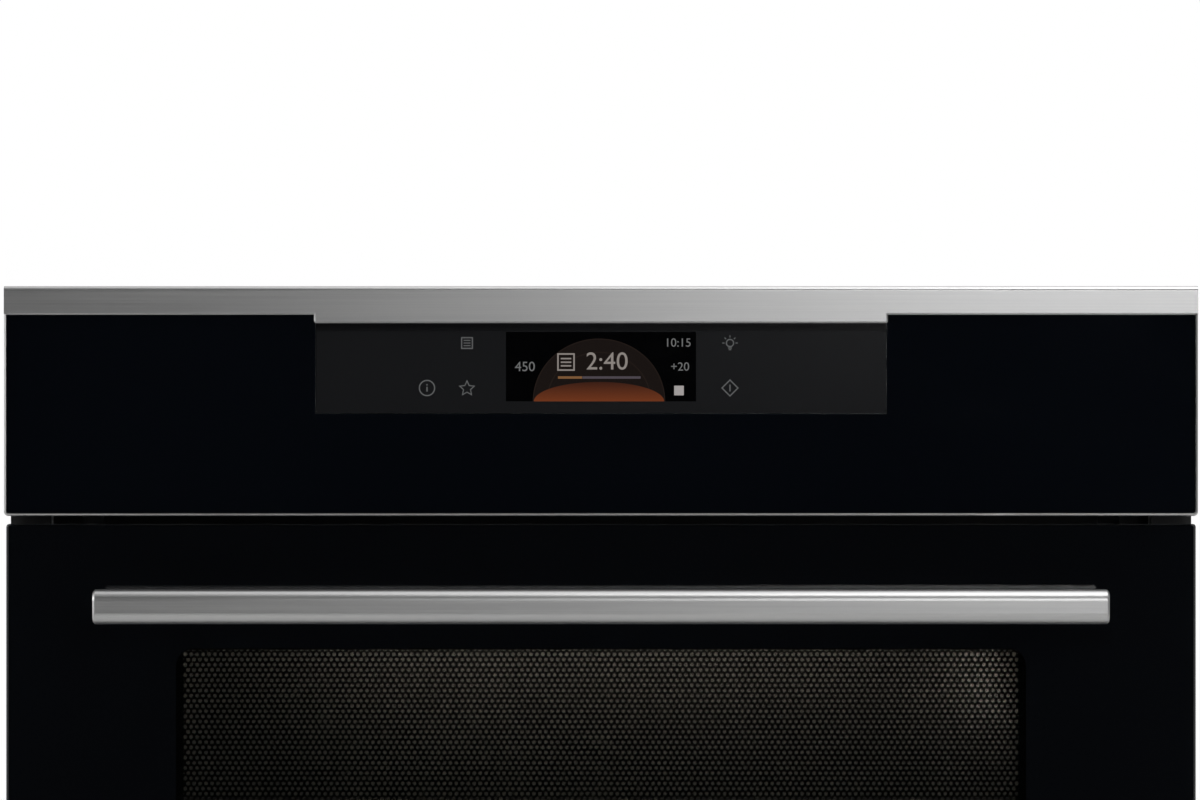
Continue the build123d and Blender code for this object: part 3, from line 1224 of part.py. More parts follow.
# Door pan: the stamped sheet with its choke channel, slotted into fingers along the lip
pan_front = glass_back + PROFILE_WEB
cover_back = frame_front - CHOKE_GAP
pan_back = cover_back - CHOKE_COVER
inner_wall = cavity_half + CHOKE_INNER
inner_low = floor_level - CHOKE_INNER
inner_high = ceiling + CHOKE_INNER
plate_front = pan_back - INNER_GLASS + CHOKE_COVER
window_half = cavity_half - WINDOW_MARGIN
window_sill = floor_level + WINDOW_MARGIN * 0.7
window_head = ceiling - WINDOW_MARGIN * 0.7
with BuildPart() as door_pan:
    with BuildSketch(facing_front(pan_back)):
        rectangle(-pan_half, pan_half, pan_bottom, pan_top)
        rectangle(
            DOOR_SHEET - pan_half,
            pan_half - DOOR_SHEET,
            pan_bottom + DOOR_SHEET,
            pan_top - DOOR_SHEET,
            mode=Mode.SUBTRACT,
        )
    extrude(amount=pan_back - pan_front)
    with BuildSketch(facing_front(pan_front + DOOR_SHEET)):
        rectangle(-pan_half, pan_half, pan_bottom, pan_top)
        rectangle(
            DOOR_SHEET - inner_wall,
            inner_wall - DOOR_SHEET,
            inner_low + DOOR_SHEET,
            inner_high - DOOR_SHEET,
            mode=Mode.SUBTRACT,
        )
    extrude(amount=DOOR_SHEET)
    with BuildSketch(facing_front(plate_front)):
        rectangle(-inner_wall, inner_wall, inner_low, inner_high)
        rectangle(
            DOOR_SHEET - inner_wall,
            inner_wall - DOOR_SHEET,
            inner_low + DOOR_SHEET,
            inner_high - DOOR_SHEET,
            mode=Mode.SUBTRACT,
        )
    extrude(amount=plate_front - pan_front)
    with BuildSketch(facing_front(plate_front)):
        rectangle(-inner_wall, inner_wall, inner_low, inner_high)
        rectangle(-window_half, window_half, window_sill, window_head, mode=Mode.SUBTRACT)
    extrude(amount=DOOR_SHEET)
    with BuildSketch(facing_front(pan_back)):
        rectangle(-pan_half, pan_half, pan_bottom, pan_top)
        rectangle(
            CHOKE_LIP - pan_half,
            pan_half - CHOKE_LIP,
            pan_bottom + CHOKE_LIP,
            pan_top - CHOKE_LIP,
            mode=Mode.SUBTRACT,
        )
    extrude(amount=DOOR_SHEET)
    across_fingers = row_count(2 * pan_half - 3 * CHOKE_LIP, CHOKE_FINGER_PITCH)
    up_fingers = row_count(pan_top - pan_bottom - 3 * CHOKE_LIP, CHOKE_FINGER_PITCH)
    pan_middle = (pan_bottom + pan_top) / 2
    with BuildSketch(facing_front(pan_back)):
        finger_inset = CHOKE_LIP / 2 + DOOR_SHEET
        with Locations((0, pan_bottom + finger_inset), (0, pan_top - finger_inset)):
            with GridLocations(CHOKE_FINGER_PITCH, 0, across_fingers, 1):
                Rectangle(CHOKE_FINGER_GAP, CHOKE_LIP)
        with Locations(*((side * (pan_half - finger_inset), pan_middle) for side in SIDES)):
            with GridLocations(0, CHOKE_FINGER_PITCH, 1, up_fingers):
                Rectangle(CHOKE_LIP, CHOKE_FINGER_GAP)
    extrude(amount=DOOR_SHEET, mode=Mode.SUBTRACT)
keep(door_pan, "door_pan")

# Perforated screen welded behind the window, the inner glass and the choke cover round it
with BuildPart() as door_screen:
    with BuildSketch(facing_front(plate_front - DOOR_SHEET)):
        screen_half = window_half + SCREEN_LAP
        rectangle(-screen_half, screen_half, window_sill - SCREEN_LAP, window_head + SCREEN_LAP)
    extrude(amount=SCREEN_SHEET)
keep(door_screen, "door_screen")

glass_edge = cavity_half - INNER_GLASS_MARGIN
with BuildPart() as door_inner_glass:
    with BuildSketch(facing_front(cover_back)):
        rectangle(
            FIT_GAP - glass_edge,
            glass_edge - FIT_GAP,
            floor_level + INNER_GLASS_MARGIN + FIT_GAP,
            ceiling - INNER_GLASS_MARGIN - FIT_GAP,
        )
    extrude(amount=cover_back - plate_front)
keep(door_inner_glass, "door_inner_glass")

with BuildPart() as choke_cover:
    with BuildSketch(facing_front(cover_back)):
        rectangle(-pan_half, pan_half, pan_bottom, pan_top)
        rectangle(
            -glass_edge,
            glass_edge,
            floor_level + INNER_GLASS_MARGIN,
            ceiling - INNER_GLASS_MARGIN,
            mode=Mode.SUBTRACT,
        )
    extrude(amount=CHOKE_COVER)
    chamfer(choke_cover.faces().sort_by(Axis.Y)[-1].outer_wire().edges(), CHOKE_COVER / 3)
keep(choke_cover, "choke_cover")

# Door profiles between the glass and the pan: two upright rails and two hollow cross rails
rail_half = glass_half - PROFILE_INSET
rail_inner = pan_half + FIT_GAP
lap_inner = pan_half - PROFILE_LAP
with BuildPart() as door_side_profiles:
    for side in SIDES:
        with BuildSketch(facing_up(rail_bottom)):
            rectangle(*across(side, rail_inner, rail_half), glass_back, profile_back)
        extrude(amount=rail_top - rail_bottom)
    lower_back = door_side_profiles.edges().filter_by(Axis.X).group_by(Axis.Z)[0].group_by(Axis.Y)[-1]
    chamfer(lower_back, PROFILE_CHAMFER)
    for side in SIDES:
        with BuildSketch(facing_up(pan_bottom)):
            rectangle(*across(side, lap_inner, rail_inner), glass_back, pan_front)
        extrude(amount=pan_top - pan_bottom)
keep(door_side_profiles, "door_side_profiles")

cross_half = hinge_x - HINGE_WIDTH / 2 - FIT_GAP
top_half = rail_inner - FIT_GAP
with BuildPart() as door_cross_profiles:
    with BuildSketch(facing_right(-cross_half)):
        rectangle(glass_back, profile_back, rail_bottom, pan_bottom)
        rectangle(glass_back, pan_front, pan_bottom, pan_bottom + PROFILE_LAP)
        rectangle(
            glass_back + PROFILE_WALL,
            profile_back - PROFILE_WALL,
            rail_bottom + PROFILE_CHAMFER + PROFILE_WALL,
            pan_bottom - PROFILE_WALL,
            mode=Mode.SUBTRACT,
        )
    extrude(amount=2 * cross_half)
    lower_back = door_cross_profiles.edges().filter_by(Axis.X).group_by(Axis.Z)[0].group_by(Axis.Y)[-1]
    chamfer(lower_back, PROFILE_CHAMFER)
    with BuildSketch(facing_right(-top_half)):
        rectangle(glass_back, profile_back, pan_top, rail_top)
    extrude(amount=2 * top_half)
    with BuildSketch(facing_right(FIT_GAP - lap_inner)):
        rectangle(glass_back, pan_front, pan_top - PROFILE_LAP, pan_top)
    extrude(amount=2 * (lap_inner - FIT_GAP))
keep(door_cross_profiles, "door_cross_profiles")

# Door handle: a steel bar on two posts, screwed through the glass
bar_back = front_face - HANDLE_REACH
with BuildPart() as handle_bar:
    with BuildSketch(facing_right(-HANDLE_LENGTH / 2)):
        with Locations((bar_back - HANDLE_DEPTH / 2, handle_z)):
            RectangleRounded(HANDLE_DEPTH, HANDLE_HEIGHT, HANDLE_ROUND)
    extrude(amount=HANDLE_LENGTH)
    ends = handle_bar.faces().filter_by(Axis.X).edges()
    chamfer(ends, HANDLE_BEVEL)
keep(handle_bar, "handle_bar")

with BuildPart() as handle_posts:
    with BuildSketch(facing_front(front_face)):
        with Locations(*post_places):
            SlotOverall(POST_WIDTH, POST_HEIGHT)
    extrude(amount=HANDLE_REACH)
    with BuildSketch(facing_front(front_face)):
        with Locations(*post_places):
            Circle(HANDLE_SCREW_RADIUS)
    extrude(amount=HANDLE_SCREW_BITE, mode=Mode.SUBTRACT)
keep(handle_posts, "handle_posts")

with BuildPart() as handle_screws:
    with BuildSketch(facing_front(glass_back + HANDLE_SCREW_HEAD_HEIGHT)):
        with Locations(*post_places):
            RegularPolygon(HANDLE_SCREW_HEAD, 6)
    extrude(amount=HANDLE_SCREW_HEAD_HEIGHT)
    with BuildSketch(facing_front(glass_back)):
        with Locations(*post_places):
            Circle(HANDLE_SCREW_RADIUS)
    extrude(amount=GLASS_THICKNESS + HANDLE_SCREW_BITE)
keep(handle_screws, "handle_screws")

# Latch hooks on the door's top rail
with BuildPart() as latch_hooks:
    for side in SIDES:
        with BuildSketch(facing_right(side * latch_x - HOOK_WIDTH / 2)):
            with BuildLine():
                Polyline(
                    (profile_back, hook_bottom),
                    (hook_tip - 2 * HOOK_BARB, hook_bottom),
                    (hook_tip - 2 * HOOK_BARB, hook_bottom - HOOK_BARB),
                    (hook_tip, hook_bottom),
                    (hook_tip, hook_bottom + HOOK_HEIGHT / 2),
                    (hook_tip - HOOK_BARB, hook_bottom + HOOK_HEIGHT),
                    (profile_back, hook_bottom + HOOK_HEIGHT),
                    close=True,
                )
            make_face()
        extrude(amount=HOOK_WIDTH)
keep(latch_hooks, "latch_hooks")

print(f"front {2 * front_half:.1f} x {front_top - PIVOT_RISE:.1f}, chassis {2 * chassis_half:.1f} x "
      f"{chassis_height:.1f} x {chassis_depth:.1f}")
print(f"door pivot y {pivot_y:.2f} z {pivot_z:.2f}")
print(f"lever pivot y {lever_pivot_y:.2f} z {lever_pivot_z:.2f}")
print(f"antenna axis y {cavity_middle:.2f}, fan axis y {fan_y:.2f} z {fan_z:.2f}")
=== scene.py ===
# %% [markdown]
# This lesson dresses a built-in microwave. Its solids come from a CAD frame that is already at real size,
# in metres, with the front towards -Y. Blender adds the finishes, the printed symbols, the lit display and
# the small fasteners. Nothing here moves a solid: a solid keeps its mesh and only gets a better finish.

# %% Load the frame
import math

import bmesh
import bpy
from mathutils import Matrix, Vector


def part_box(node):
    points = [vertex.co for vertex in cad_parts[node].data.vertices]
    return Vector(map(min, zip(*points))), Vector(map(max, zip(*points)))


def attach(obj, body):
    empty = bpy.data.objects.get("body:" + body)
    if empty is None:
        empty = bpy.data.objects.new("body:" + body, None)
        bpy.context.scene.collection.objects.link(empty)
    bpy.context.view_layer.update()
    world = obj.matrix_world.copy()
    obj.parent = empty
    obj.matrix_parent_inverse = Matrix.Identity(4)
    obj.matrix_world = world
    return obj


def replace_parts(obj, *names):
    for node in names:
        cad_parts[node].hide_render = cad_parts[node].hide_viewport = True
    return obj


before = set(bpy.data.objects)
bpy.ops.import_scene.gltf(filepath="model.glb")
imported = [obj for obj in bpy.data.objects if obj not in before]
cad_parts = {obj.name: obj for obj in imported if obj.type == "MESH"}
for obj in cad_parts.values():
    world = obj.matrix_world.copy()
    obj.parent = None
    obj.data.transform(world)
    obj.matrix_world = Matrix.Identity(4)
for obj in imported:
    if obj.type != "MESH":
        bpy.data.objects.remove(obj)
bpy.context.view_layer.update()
MM = 0.001

# %% [markdown]
# The photograph is taken straight from the front, with almost no perspective. A long lens far away gives
# that: the camera sees the front as a drawing. The fascia is 1194 pixels wide in a picture of 1200 by 800
# and 595 mm wide in the frame, which fixes the scale, so every pixel has its own place on the front.

# %% Camera at the photograph's angle
PICTURE_WIDTH = 1200
PICTURE_HEIGHT = 800
FASCIA_PIXELS = 1194
TRIM_TOP_ROW = 286
FASCIA_COLUMN = 601
LENS = 200
SENSOR = 36

trim_low, trim_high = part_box("top_trim")
glass_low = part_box("fascia_glass")[0]
pixel = (trim_high.x - trim_low.x) / FASCIA_PIXELS
front_y = glass_low.y


def on_front(column, row, depth=front_y):
    """The point of the front that shows at a pixel of the picture."""
    return Vector(((column - FASCIA_COLUMN) * pixel, depth, trim_high.z - (row - TRIM_TOP_ROW) * pixel))


camera_data = bpy.data.cameras.new("front_camera")
camera_data.lens = LENS
camera_data.sensor_width = SENSOR
camera = bpy.data.objects.new("front_camera", camera_data)
bpy.context.scene.collection.objects.link(camera)
distance = PICTURE_WIDTH * pixel * LENS / SENSOR
middle = on_front(PICTURE_WIDTH / 2, PICTURE_HEIGHT / 2)
camera.location = middle - Vector((0, distance, 0))
camera.rotation_euler = (math.radians(90), 0, 0)
bpy.context.scene.camera = camera
bpy.context.scene.view_settings.view_transform = "Standard"
print("one pixel is", round(pixel / MM, 4), "mm, camera", [round(c, 3) for c in camera.location])

# %% [markdown]
# The light is a plain studio. Black glass is a mirror: seen from the front it shows whatever stands behind
# the camera, so the sky is dark in that direction and the glass stays black. A picture of a studio could be
# wrapped round the scene too, but a fade along Y is easier to steer. The camera itself sees a white
# background, as in a product picture.

# %% Background and sky
world = bpy.data.worlds.new("studio")
bpy.context.scene.world = world
world.use_nodes = True
sky = world.node_tree.nodes
wires = world.node_tree.links
sky.clear()
direction = sky.new("ShaderNodeTexCoord")
parts = sky.new("ShaderNodeSeparateXYZ")
wires.new(direction.outputs["Generated"], parts.inputs["Vector"])
fade = sky.new("ShaderNodeMapRange")
for name, value in (("From Min", -0.7), ("From Max", 0.45), ("To Min", 0.01), ("To Max", 0.5)):
    fade.inputs[name].default_value = value
wires.new(parts.outputs["Y"], fade.inputs["Value"])
soft_sky = sky.new("ShaderNodeBackground")
wires.new(fade.outputs["Result"], soft_sky.inputs["Strength"])
white = sky.new("ShaderNodeBackground")
white.inputs["Color"].default_value = (1, 1, 1, 1)
ray = sky.new("ShaderNodeLightPath")
either = sky.new("ShaderNodeMixShader")
wires.new(ray.outputs["Is Camera Ray"], either.inputs["Fac"])
wires.new(soft_sky.outputs["Background"], either.inputs[1])
wires.new(white.outputs["Background"], either.inputs[2])
shown = sky.new("ShaderNodeOutputWorld")
wires.new(either.outputs["Shader"], shown.inputs["Surface"])
print("sky nodes", len(sky))

# %% [markdown]
# A soft box is a lamp behind a large white cloth, and an area light is just that. The steel is brushed and
# scatters light from a wide angle, so boxes above and to the right make it bright there and let it fall off
# to the left. Each box is aimed with a direction, which is easier to change than three angles. Two small
# warm ones light the oven, one at its lamp and one under its roof at the front.

# %% Soft boxes
TARGET = Vector((0, -0.2, 0.3))
WARM_LIGHT = (1.0, 0.86, 0.66)


def soft_box(name, place, width, height, power, aim=None):
    """A large area light that faces the object, or looks along a direction."""
    light = bpy.data.lights.new(name, "AREA")
    light.shape = "RECTANGLE"
    light.size = width
    light.size_y = height
    light.energy = power
    lamp = bpy.data.objects.new(name, light)
    bpy.context.scene.collection.objects.link(lamp)
    lamp.location = place
    aim = Vector(aim) if aim else TARGET - Vector(place)
    lamp.rotation_euler = aim.to_track_quat("-Z", "Y").to_euler()
    lamp.visible_camera = False
    return lamp


boxes = [
    soft_box("key_box", (0.3, -2.0, 0.78), 0.3, 0.36, 2.55),
    soft_box("right_box", (0.65, -2.0, 0.5), 0.12, 0.8, 1.6),
    soft_box("brow_box", (0.55, -0.75, 1.75), 1.2, 0.5, 7),
    soft_box("top_box", (0.5, 0.0, 2.4), 2.2, 2.2, 15),
    soft_box("left_box", (-2.2, -0.5, 0.85), 1.4, 0.8, 10),
    soft_box("rear_box", (-0.6, 2.2, 1.5), 2.4, 1.6, 9),
]
lens_low, lens_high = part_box("lamp_lens")
liner_low, liner_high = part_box("cavity_liner")
at_lamp = (lens_low.x - 2 * MM, (lens_low.y + lens_high.y) / 2, lens_high.z - 12 * MM)
under_roof = (0, liner_low.y + 40 * MM, lens_high.z + 19 * MM)
oven_boxes = [
    soft_box("oven_lamp", at_lamp, 30 * MM, 40 * MM, 0.2, aim=(-1, 0, -0.25)),
    soft_box("oven_glow", under_roof, 0.36, 0.06, 0.22, aim=(0, 0.9, -0.45)),
]
for lamp in oven_boxes:
    lamp.data.color = WARM_LIGHT
print("soft boxes", [lamp.name for lamp in boxes + oven_boxes])

# %% [markdown]
# A finish is a Principled shader with a pattern on it. The patterns read Object coordinates, which are
# metres in the shared frame, so a grain of 2 mm is 2 mm on every piece. Small helpers keep each finish
# short: the first ones start it with its even values, the next give patterns, and the others let a pattern
# change the roughness, a colour or the surface. The last one is for the many finishes whose colour and gloss
# follow the same grain.

# %% Helpers for the finishes
finishes = {}


def shader_of(finish):
    """The one shader of a finish."""
    return finish.node_tree.nodes["Principled BSDF"]


def even(finish, socket, value):
    """Sets a value that is the same all over, on the shader itself."""
    shader_of(finish).inputs[socket].default_value = value


def start_finish(name, colour, roughness, metallic=0.0):
    """A new finish with its even values."""
    finish = bpy.data.materials.new(name)
    finish.use_nodes = True
    even(finish, "Base Color", (*colour, 1))
    even(finish, "Roughness", roughness)
    even(finish, "Metallic", metallic)
    return finish


def join(finish, start, end):
    """A wire between two sockets of a finish."""
    finish.node_tree.links.new(start, end)


def placed(finish, scale):
    """Object coordinates in repeats per metre, one number for all axes or one for each."""
    place = finish.node_tree.nodes.new("ShaderNodeTexCoord")
    mapping = finish.node_tree.nodes.new("ShaderNodeMapping")
    mapping.inputs["Scale"].default_value = scale if isinstance(scale, tuple) else (scale, scale, scale)
    join(finish, place.outputs["Object"], mapping.inputs["Vector"])
    return mapping.outputs["Vector"]


def grain(finish, scale, detail=3.0):
    """A soft noise between 0 and 1."""
    noise = finish.node_tree.nodes.new("ShaderNodeTexNoise")
    noise.inputs["Scale"].default_value = 1.0
    noise.inputs["Detail"].default_value = detail
    join(finish, placed(finish, scale), noise.inputs["Vector"])
    return noise.outputs["Fac"]


def cells(finish, scale, feature="F1", output="Distance", randomness=1.0):
    """A cell pattern: distances from the cell middles or edges, or one colour per cell."""
    voronoi = finish.node_tree.nodes.new("ShaderNodeTexVoronoi")
    voronoi.feature = feature
    voronoi.inputs["Scale"].default_value = 1.0
    voronoi.inputs["Randomness"].default_value = randomness
    join(finish, placed(finish, scale), voronoi.inputs["Vector"])
    return voronoi.outputs[output]


def stretch(finish, pattern, start, stop, low=0.0, high=1.0):
    """A pattern whose values from start to stop are stretched to run from low to high."""
    ends = finish.node_tree.nodes.new("ShaderNodeMapRange")
    for name, value in (("From Min", start), ("From Max", stop), ("To Min", low), ("To Max", high)):
        ends.inputs[name].default_value = value
    join(finish, pattern, ends.inputs["Value"])
    return ends.outputs["Result"]


def height_of(finish, axis, start, stop):
    """A pattern that goes from 0 to 1 between two places along an axis."""
    split = finish.node_tree.nodes.new("ShaderNodeSeparateXYZ")
    join(finish, placed(finish, 1), split.inputs["Vector"])
    return stretch(finish, split.outputs[axis], start, stop)


def vary(finish, pattern, low, high, start=0.3, stop=0.7):
    """Lets a pattern move the roughness between low and high."""
    join(finish, stretch(finish, pattern, start, stop, low, high), shader_of(finish).inputs["Roughness"])


def rough_at(finish, pattern, value):
    """Lets a pattern lift the roughness up to a value."""
    roughness = shader_of(finish).inputs["Roughness"]
    larger = finish.node_tree.nodes.new("ShaderNodeMath")
    larger.operation = "MAXIMUM"
    join(finish, roughness.links[0].from_socket, larger.inputs[0])
    join(finish, stretch(finish, pattern, 0.0, 1.0, 0.0, value), larger.inputs[1])
    join(finish, larger.outputs["Value"], roughness)


def tone(finish, pattern, first, last, start=0.3, stop=0.7, socket="Base Color"):
    """Lets a pattern move a colour from a first to a last tone."""
    ramp = finish.node_tree.nodes.new("ShaderNodeValToRGB")
    ramp.color_ramp.elements[0].position = start
    ramp.color_ramp.elements[0].color = (*first, 1)
    ramp.color_ramp.elements[1].position = stop
    ramp.color_ramp.elements[1].color = (*last, 1)
    join(finish, pattern, ramp.inputs["Fac"])
    join(finish, ramp.outputs["Color"], shader_of(finish).inputs[socket])


def relief(finish, pattern, height, strength):
    """Lets a pattern raise the surface by a height in metres."""
    bump = finish.node_tree.nodes.new("ShaderNodeBump")
    bump.inputs["Distance"].default_value = height
    bump.inputs["Strength"].default_value = strength
    join(finish, pattern, bump.inputs["Height"])
    join(finish, bump.outputs["Normal"], shader_of(finish).inputs["Normal"])


def grained(slot, name, scale, dark, light, rough, metallic=0.0, detail=3.0, spread=(0.3, 0.7)):
    """A slot's finish whose colour follows a grain, and its roughness too where that has a range."""
    middle = [(low + high) / 2 for low, high in zip(dark, light)]
    finish = start_finish(name, middle, sum(rough) / 2, metallic)
    pattern = grain(finish, scale, detail)
    tone(finish, pattern, dark, light, *spread)
    if rough[0] < rough[1]:
        vary(finish, pattern, *rough)
    finishes[slot] = finish
    return finish, pattern


print("helpers ready")

# %% [markdown]
# The top trim, the lip round the fascia and the door handle are brushed stainless steel. The brush ran along
# the length, so the scratches are noise stretched a hundred times along X. They change the colour and the
# roughness a little and stand a few micrometres high. Anisotropy pulls the highlight across the scratches.

# %% Brushed fascia steel
steel, scratches = grained("fascia_steel", "brushed_fascia_steel", (9, 1700, 1700), (0.585, 0.585, 0.59),
                           (0.635, 0.634, 0.632), (0.35, 0.4), metallic=1.0, detail=5)
even(steel, "Anisotropic", 0.1)
even(steel, "Anisotropic Rotation", 0.25)
relief(steel, scratches, 0.004 * MM, 0.5)
print("brushed steel nodes", len(steel.node_tree.nodes))

# %% [markdown]
# The sheets round the oven are plain stainless, rolled and not brushed: broad faint clouds and a fine grain.
# The outer sheets are hot-dip zinc, which freezes in flat crystals. A cell pattern with one colour per cell
# is that spangle; noise would have no straight borders. Aluminium, hinges and screws need a grain only.

# %% Sheet metals
stainless = start_finish("rolled_stainless", (0.58, 0.58, 0.58), 0.3, metallic=1.0)
tone(stainless, grain(stainless, 18), (0.56, 0.56, 0.563), (0.6, 0.599, 0.597))
vary(stainless, grain(stainless, (700, 60, 700)), 0.29, 0.33)
finishes["stainless_sheet"] = stainless

zinc = start_finish("spangled_zinc", (0.55, 0.57, 0.58), 0.45, metallic=1.0)
spangle = cells(zinc, 170, output="Color")
tone(zinc, spangle, (0.5, 0.515, 0.525), (0.57, 0.58, 0.585), 0.2, 0.8)
vary(zinc, spangle, 0.44, 0.5, 0.2, 0.8)
relief(zinc, grain(zinc, 420), 0.02 * MM, 0.4)
finishes["zinc_sheet"] = zinc

grained("aluminium_sheet", "mill_aluminium", (30, 500, 500),
        (0.64, 0.645, 0.65), (0.78, 0.78, 0.785), (0.28, 0.42), metallic=1.0)
grained("aluminium_can", "drawn_aluminium_can", (260, 260, 9),
        (0.62, 0.62, 0.63), (0.76, 0.76, 0.77), (0.22, 0.36), metallic=1.0)
grained("hinge_steel", "plated_hinge_steel", 240,
        (0.33, 0.335, 0.34), (0.5, 0.5, 0.495), (0.32, 0.5), metallic=1.0, detail=5)
screw = grained("screw_steel", "plated_screw_steel", 900,
                (0.4, 0.39, 0.36), (0.58, 0.57, 0.53), (0.28, 0.46), metallic=1.0)[0]
print("metals", sorted(finishes))

# %% [markdown]
# The fascia is black because it is printed on the back of the glass. Only the polished front reflects, so
# the shader is almost black and very smooth, with a faint smear in the roughness where hands have wiped it.
# The print of the door lies behind tinted glass, so it has to be lighter to look as black as the fascia.
# The touch panel is the same glass with a dark grey print and a satin front, with a painted shade that makes
# it darker under the trim, where the trim's shadow falls. Two of its edges are ground matt, so they catch no
# bright line. The display window is blacker.

# %% Printed glass
black_glass = start_finish("black_printed_glass", (0.0023, 0.0035, 0.006), 0.05)
vary(black_glass, grain(black_glass, (16, 16, 30)), 0.03, 0.075)
tone(black_glass, grain(black_glass, 6), (0.0021, 0.0032, 0.0056), (0.0026, 0.0038, 0.0063))
finishes["black_glass"] = black_glass

door_print = start_finish("black_door_print", (0.02, 0.03, 0.05), 0.6)
tone(door_print, grain(door_print, 6), (0.018, 0.027, 0.046), (0.022, 0.033, 0.054))
vary(door_print, grain(door_print, 600), 0.5, 0.7)

CHAMFER_START = 0.3 * MM
CHAMFER = 0.24 * MM
GROUND = 0.6
SHADE_FOOT = 8 * MM
SHADE_HEAD = 5 * MM
touch_glass = start_finish("grey_touch_glass", (0.011, 0.0115, 0.0128), 0.12)
vary(touch_glass, grain(touch_glass, 900, detail=5), 0.1, 0.16)
touch_low, touch_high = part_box("touch_panel")
edges = (("X", touch_high.x - CHAMFER_START, touch_high.x - CHAMFER),
         ("Z", touch_low.z + CHAMFER_START, touch_low.z + CHAMFER))
for axis, start, stop in edges:
    rough_at(touch_glass, height_of(touch_glass, axis, start, stop), GROUND)
# Painted shade: the print darkens towards the trim, where the trim's shadow falls on the panel.
painted_trim_shadow = height_of(touch_glass, "Z", touch_high.z - SHADE_FOOT, touch_high.z - SHADE_HEAD)
tone(touch_glass, painted_trim_shadow, (0.0162, 0.0168, 0.0185), (0.0072, 0.0073, 0.0085), 0.0, 1.0)
finishes["touch_glass"] = touch_glass

grained("display_glass", "display_glass", 120,
        (0.0006, 0.0007, 0.001), (0.0009, 0.001, 0.0014), (0.05, 0.1))
print("printed glass", black_glass.name, door_print.name, touch_glass.name)

# %% [markdown]
# The door glass is tinted and clear, and a black print behind it leaves a window free. The inner glass is
# clear. Both use full transmission, because a see-through mix would lose the refraction at the edges. The
# oven floor is a dark glass-ceramic plate, and its fine speckle is the pale middles of a cell pattern.

# %% Clear glass and ceramics
def clear_finish(name, colour, scale, roughest):
    """A clear glass with a faint smear."""
    finish = start_finish(name, colour, 0.02)
    even(finish, "Transmission Weight", 1.0)
    even(finish, "IOR", 1.5)
    vary(finish, grain(finish, scale), 0.0, roughest)
    return finish


door_glass = clear_finish("tinted_door_glass", (0.12, 0.125, 0.13), (16, 16, 30), 0.04)
finishes["clear_glass"] = clear_finish("clear_glass", (0.9, 0.94, 0.93), 20, 0.05)

lamp_glass = start_finish("frosted_lamp_glass", (0.93, 0.9, 0.82), 0.4)
even(lamp_glass, "Transmission Weight", 0.6)
vary(lamp_glass, grain(lamp_glass, 600), 0.35, 0.55)
finishes["lamp_glass"] = lamp_glass

ceramic_glass = start_finish("speckled_glass_ceramic", (0.05, 0.05, 0.053), 0.25)
tone(ceramic_glass, cells(ceramic_glass, 900), (0.11, 0.11, 0.114), (0.052, 0.052, 0.055), 0.1, 0.4)
vary(ceramic_glass, grain(ceramic_glass, 400), 0.2, 0.24)
finishes["ceramic_glass"] = ceramic_glass

ceramic, bisque = grained("ceramic_body", "steatite_ceramic", 300,
                          (0.7, 0.67, 0.6), (0.84, 0.81, 0.75), (0.6, 0.6), detail=5)
relief(ceramic, bisque, 0.06 * MM, 0.6)
print("glass and ceramics", len(finishes))

# %% [markdown]
# The door pan has a black enamel with a slight orange peel. The thin sheet behind the window has a duller
# black, with a little of the metal showing through the thin coat, so its shader is partly metallic.

# %% Enamel and the screen sheet
enamel = start_finish("black_enamel", (0.014, 0.014, 0.015), 0.35)
peel = grain(enamel, 900)
tone(enamel, grain(enamel, 60), (0.011, 0.011, 0.012), (0.018, 0.018, 0.019))
vary(enamel, peel, 0.28, 0.42)
relief(enamel, peel, 0.04 * MM, 0.5)
finishes["door_enamel"] = enamel

screen = grained("screen_sheet", "black_screen_sheet", 90,
                 (0.016, 0.016, 0.017), (0.026, 0.026, 0.027), (0.4, 0.52), metallic=0.3)[0]
print("black sheets", enamel.name, screen.name)

# %% [markdown]
# The mouldings are glass-filled plastic with a fine spark texture from the mould. Silicone is softer and
# duller. Their texture is far too fine to model, so it is a grain that also raises the surface a little.

# %% Plastics and rubber
black_plastic, spark = grained("black_plastic", "spark_textured_black_plastic", 1400,
                               (0.014, 0.014, 0.015), (0.023, 0.023, 0.024), (0.44, 0.6), detail=2)
relief(black_plastic, spark, 0.05 * MM, 0.5)
white_plastic, spark = grained("white_plastic", "spark_textured_white_plastic", 1400,
                               (0.66, 0.65, 0.61), (0.77, 0.76, 0.72), (0.5, 0.5), detail=2)
relief(white_plastic, spark, 0.05 * MM, 0.4)
silicone = grained("silicone", "grey_silicone", 260,
                   (0.1, 0.1, 0.105), (0.15, 0.15, 0.155), (0.58, 0.75), detail=5)[0]
print("plastics", black_plastic.name, white_plastic.name, silicone.name)

# %% [markdown]
# The inner parts show when the casing is off: pressed ferrite, varnished laminations, enamelled copper wire
# wound in rows, and green circuit boards with lighter tracks. The wire is a wave along Z that also raises
# the surface. A board and its parts are one solid, so the place along an axis tells them apart.

# %% Electrical materials
ferrite, pores = grained("ferrite", "pressed_ferrite", 800,
                         (0.03, 0.03, 0.032), (0.075, 0.075, 0.08), (0.75, 0.75), detail=6)
relief(ferrite, pores, 0.1 * MM, 0.6)
core, sheets = grained("core_iron", "varnished_laminations", (4, 1500, 4), (0.09, 0.09, 0.095),
                       (0.22, 0.22, 0.23), (0.45, 0.45), metallic=0.6, detail=1, spread=(0.4, 0.6))
relief(core, sheets, 0.1 * MM, 0.7)

copper = start_finish("enamelled_copper_wire", (0.5, 0.2, 0.09), 0.3, metallic=0.85)
turns = copper.node_tree.nodes.new("ShaderNodeTexWave")
turns.bands_direction = "Z"
turns.inputs["Scale"].default_value = 1.0
join(copper, placed(copper, 150), turns.inputs["Vector"])
wound = turns.outputs["Fac"]
tone(copper, wound, (0.3, 0.1, 0.04), (0.62, 0.28, 0.13), 0.1, 0.8)
relief(copper, wound, 0.3 * MM, 0.8)
finishes["copper"] = copper

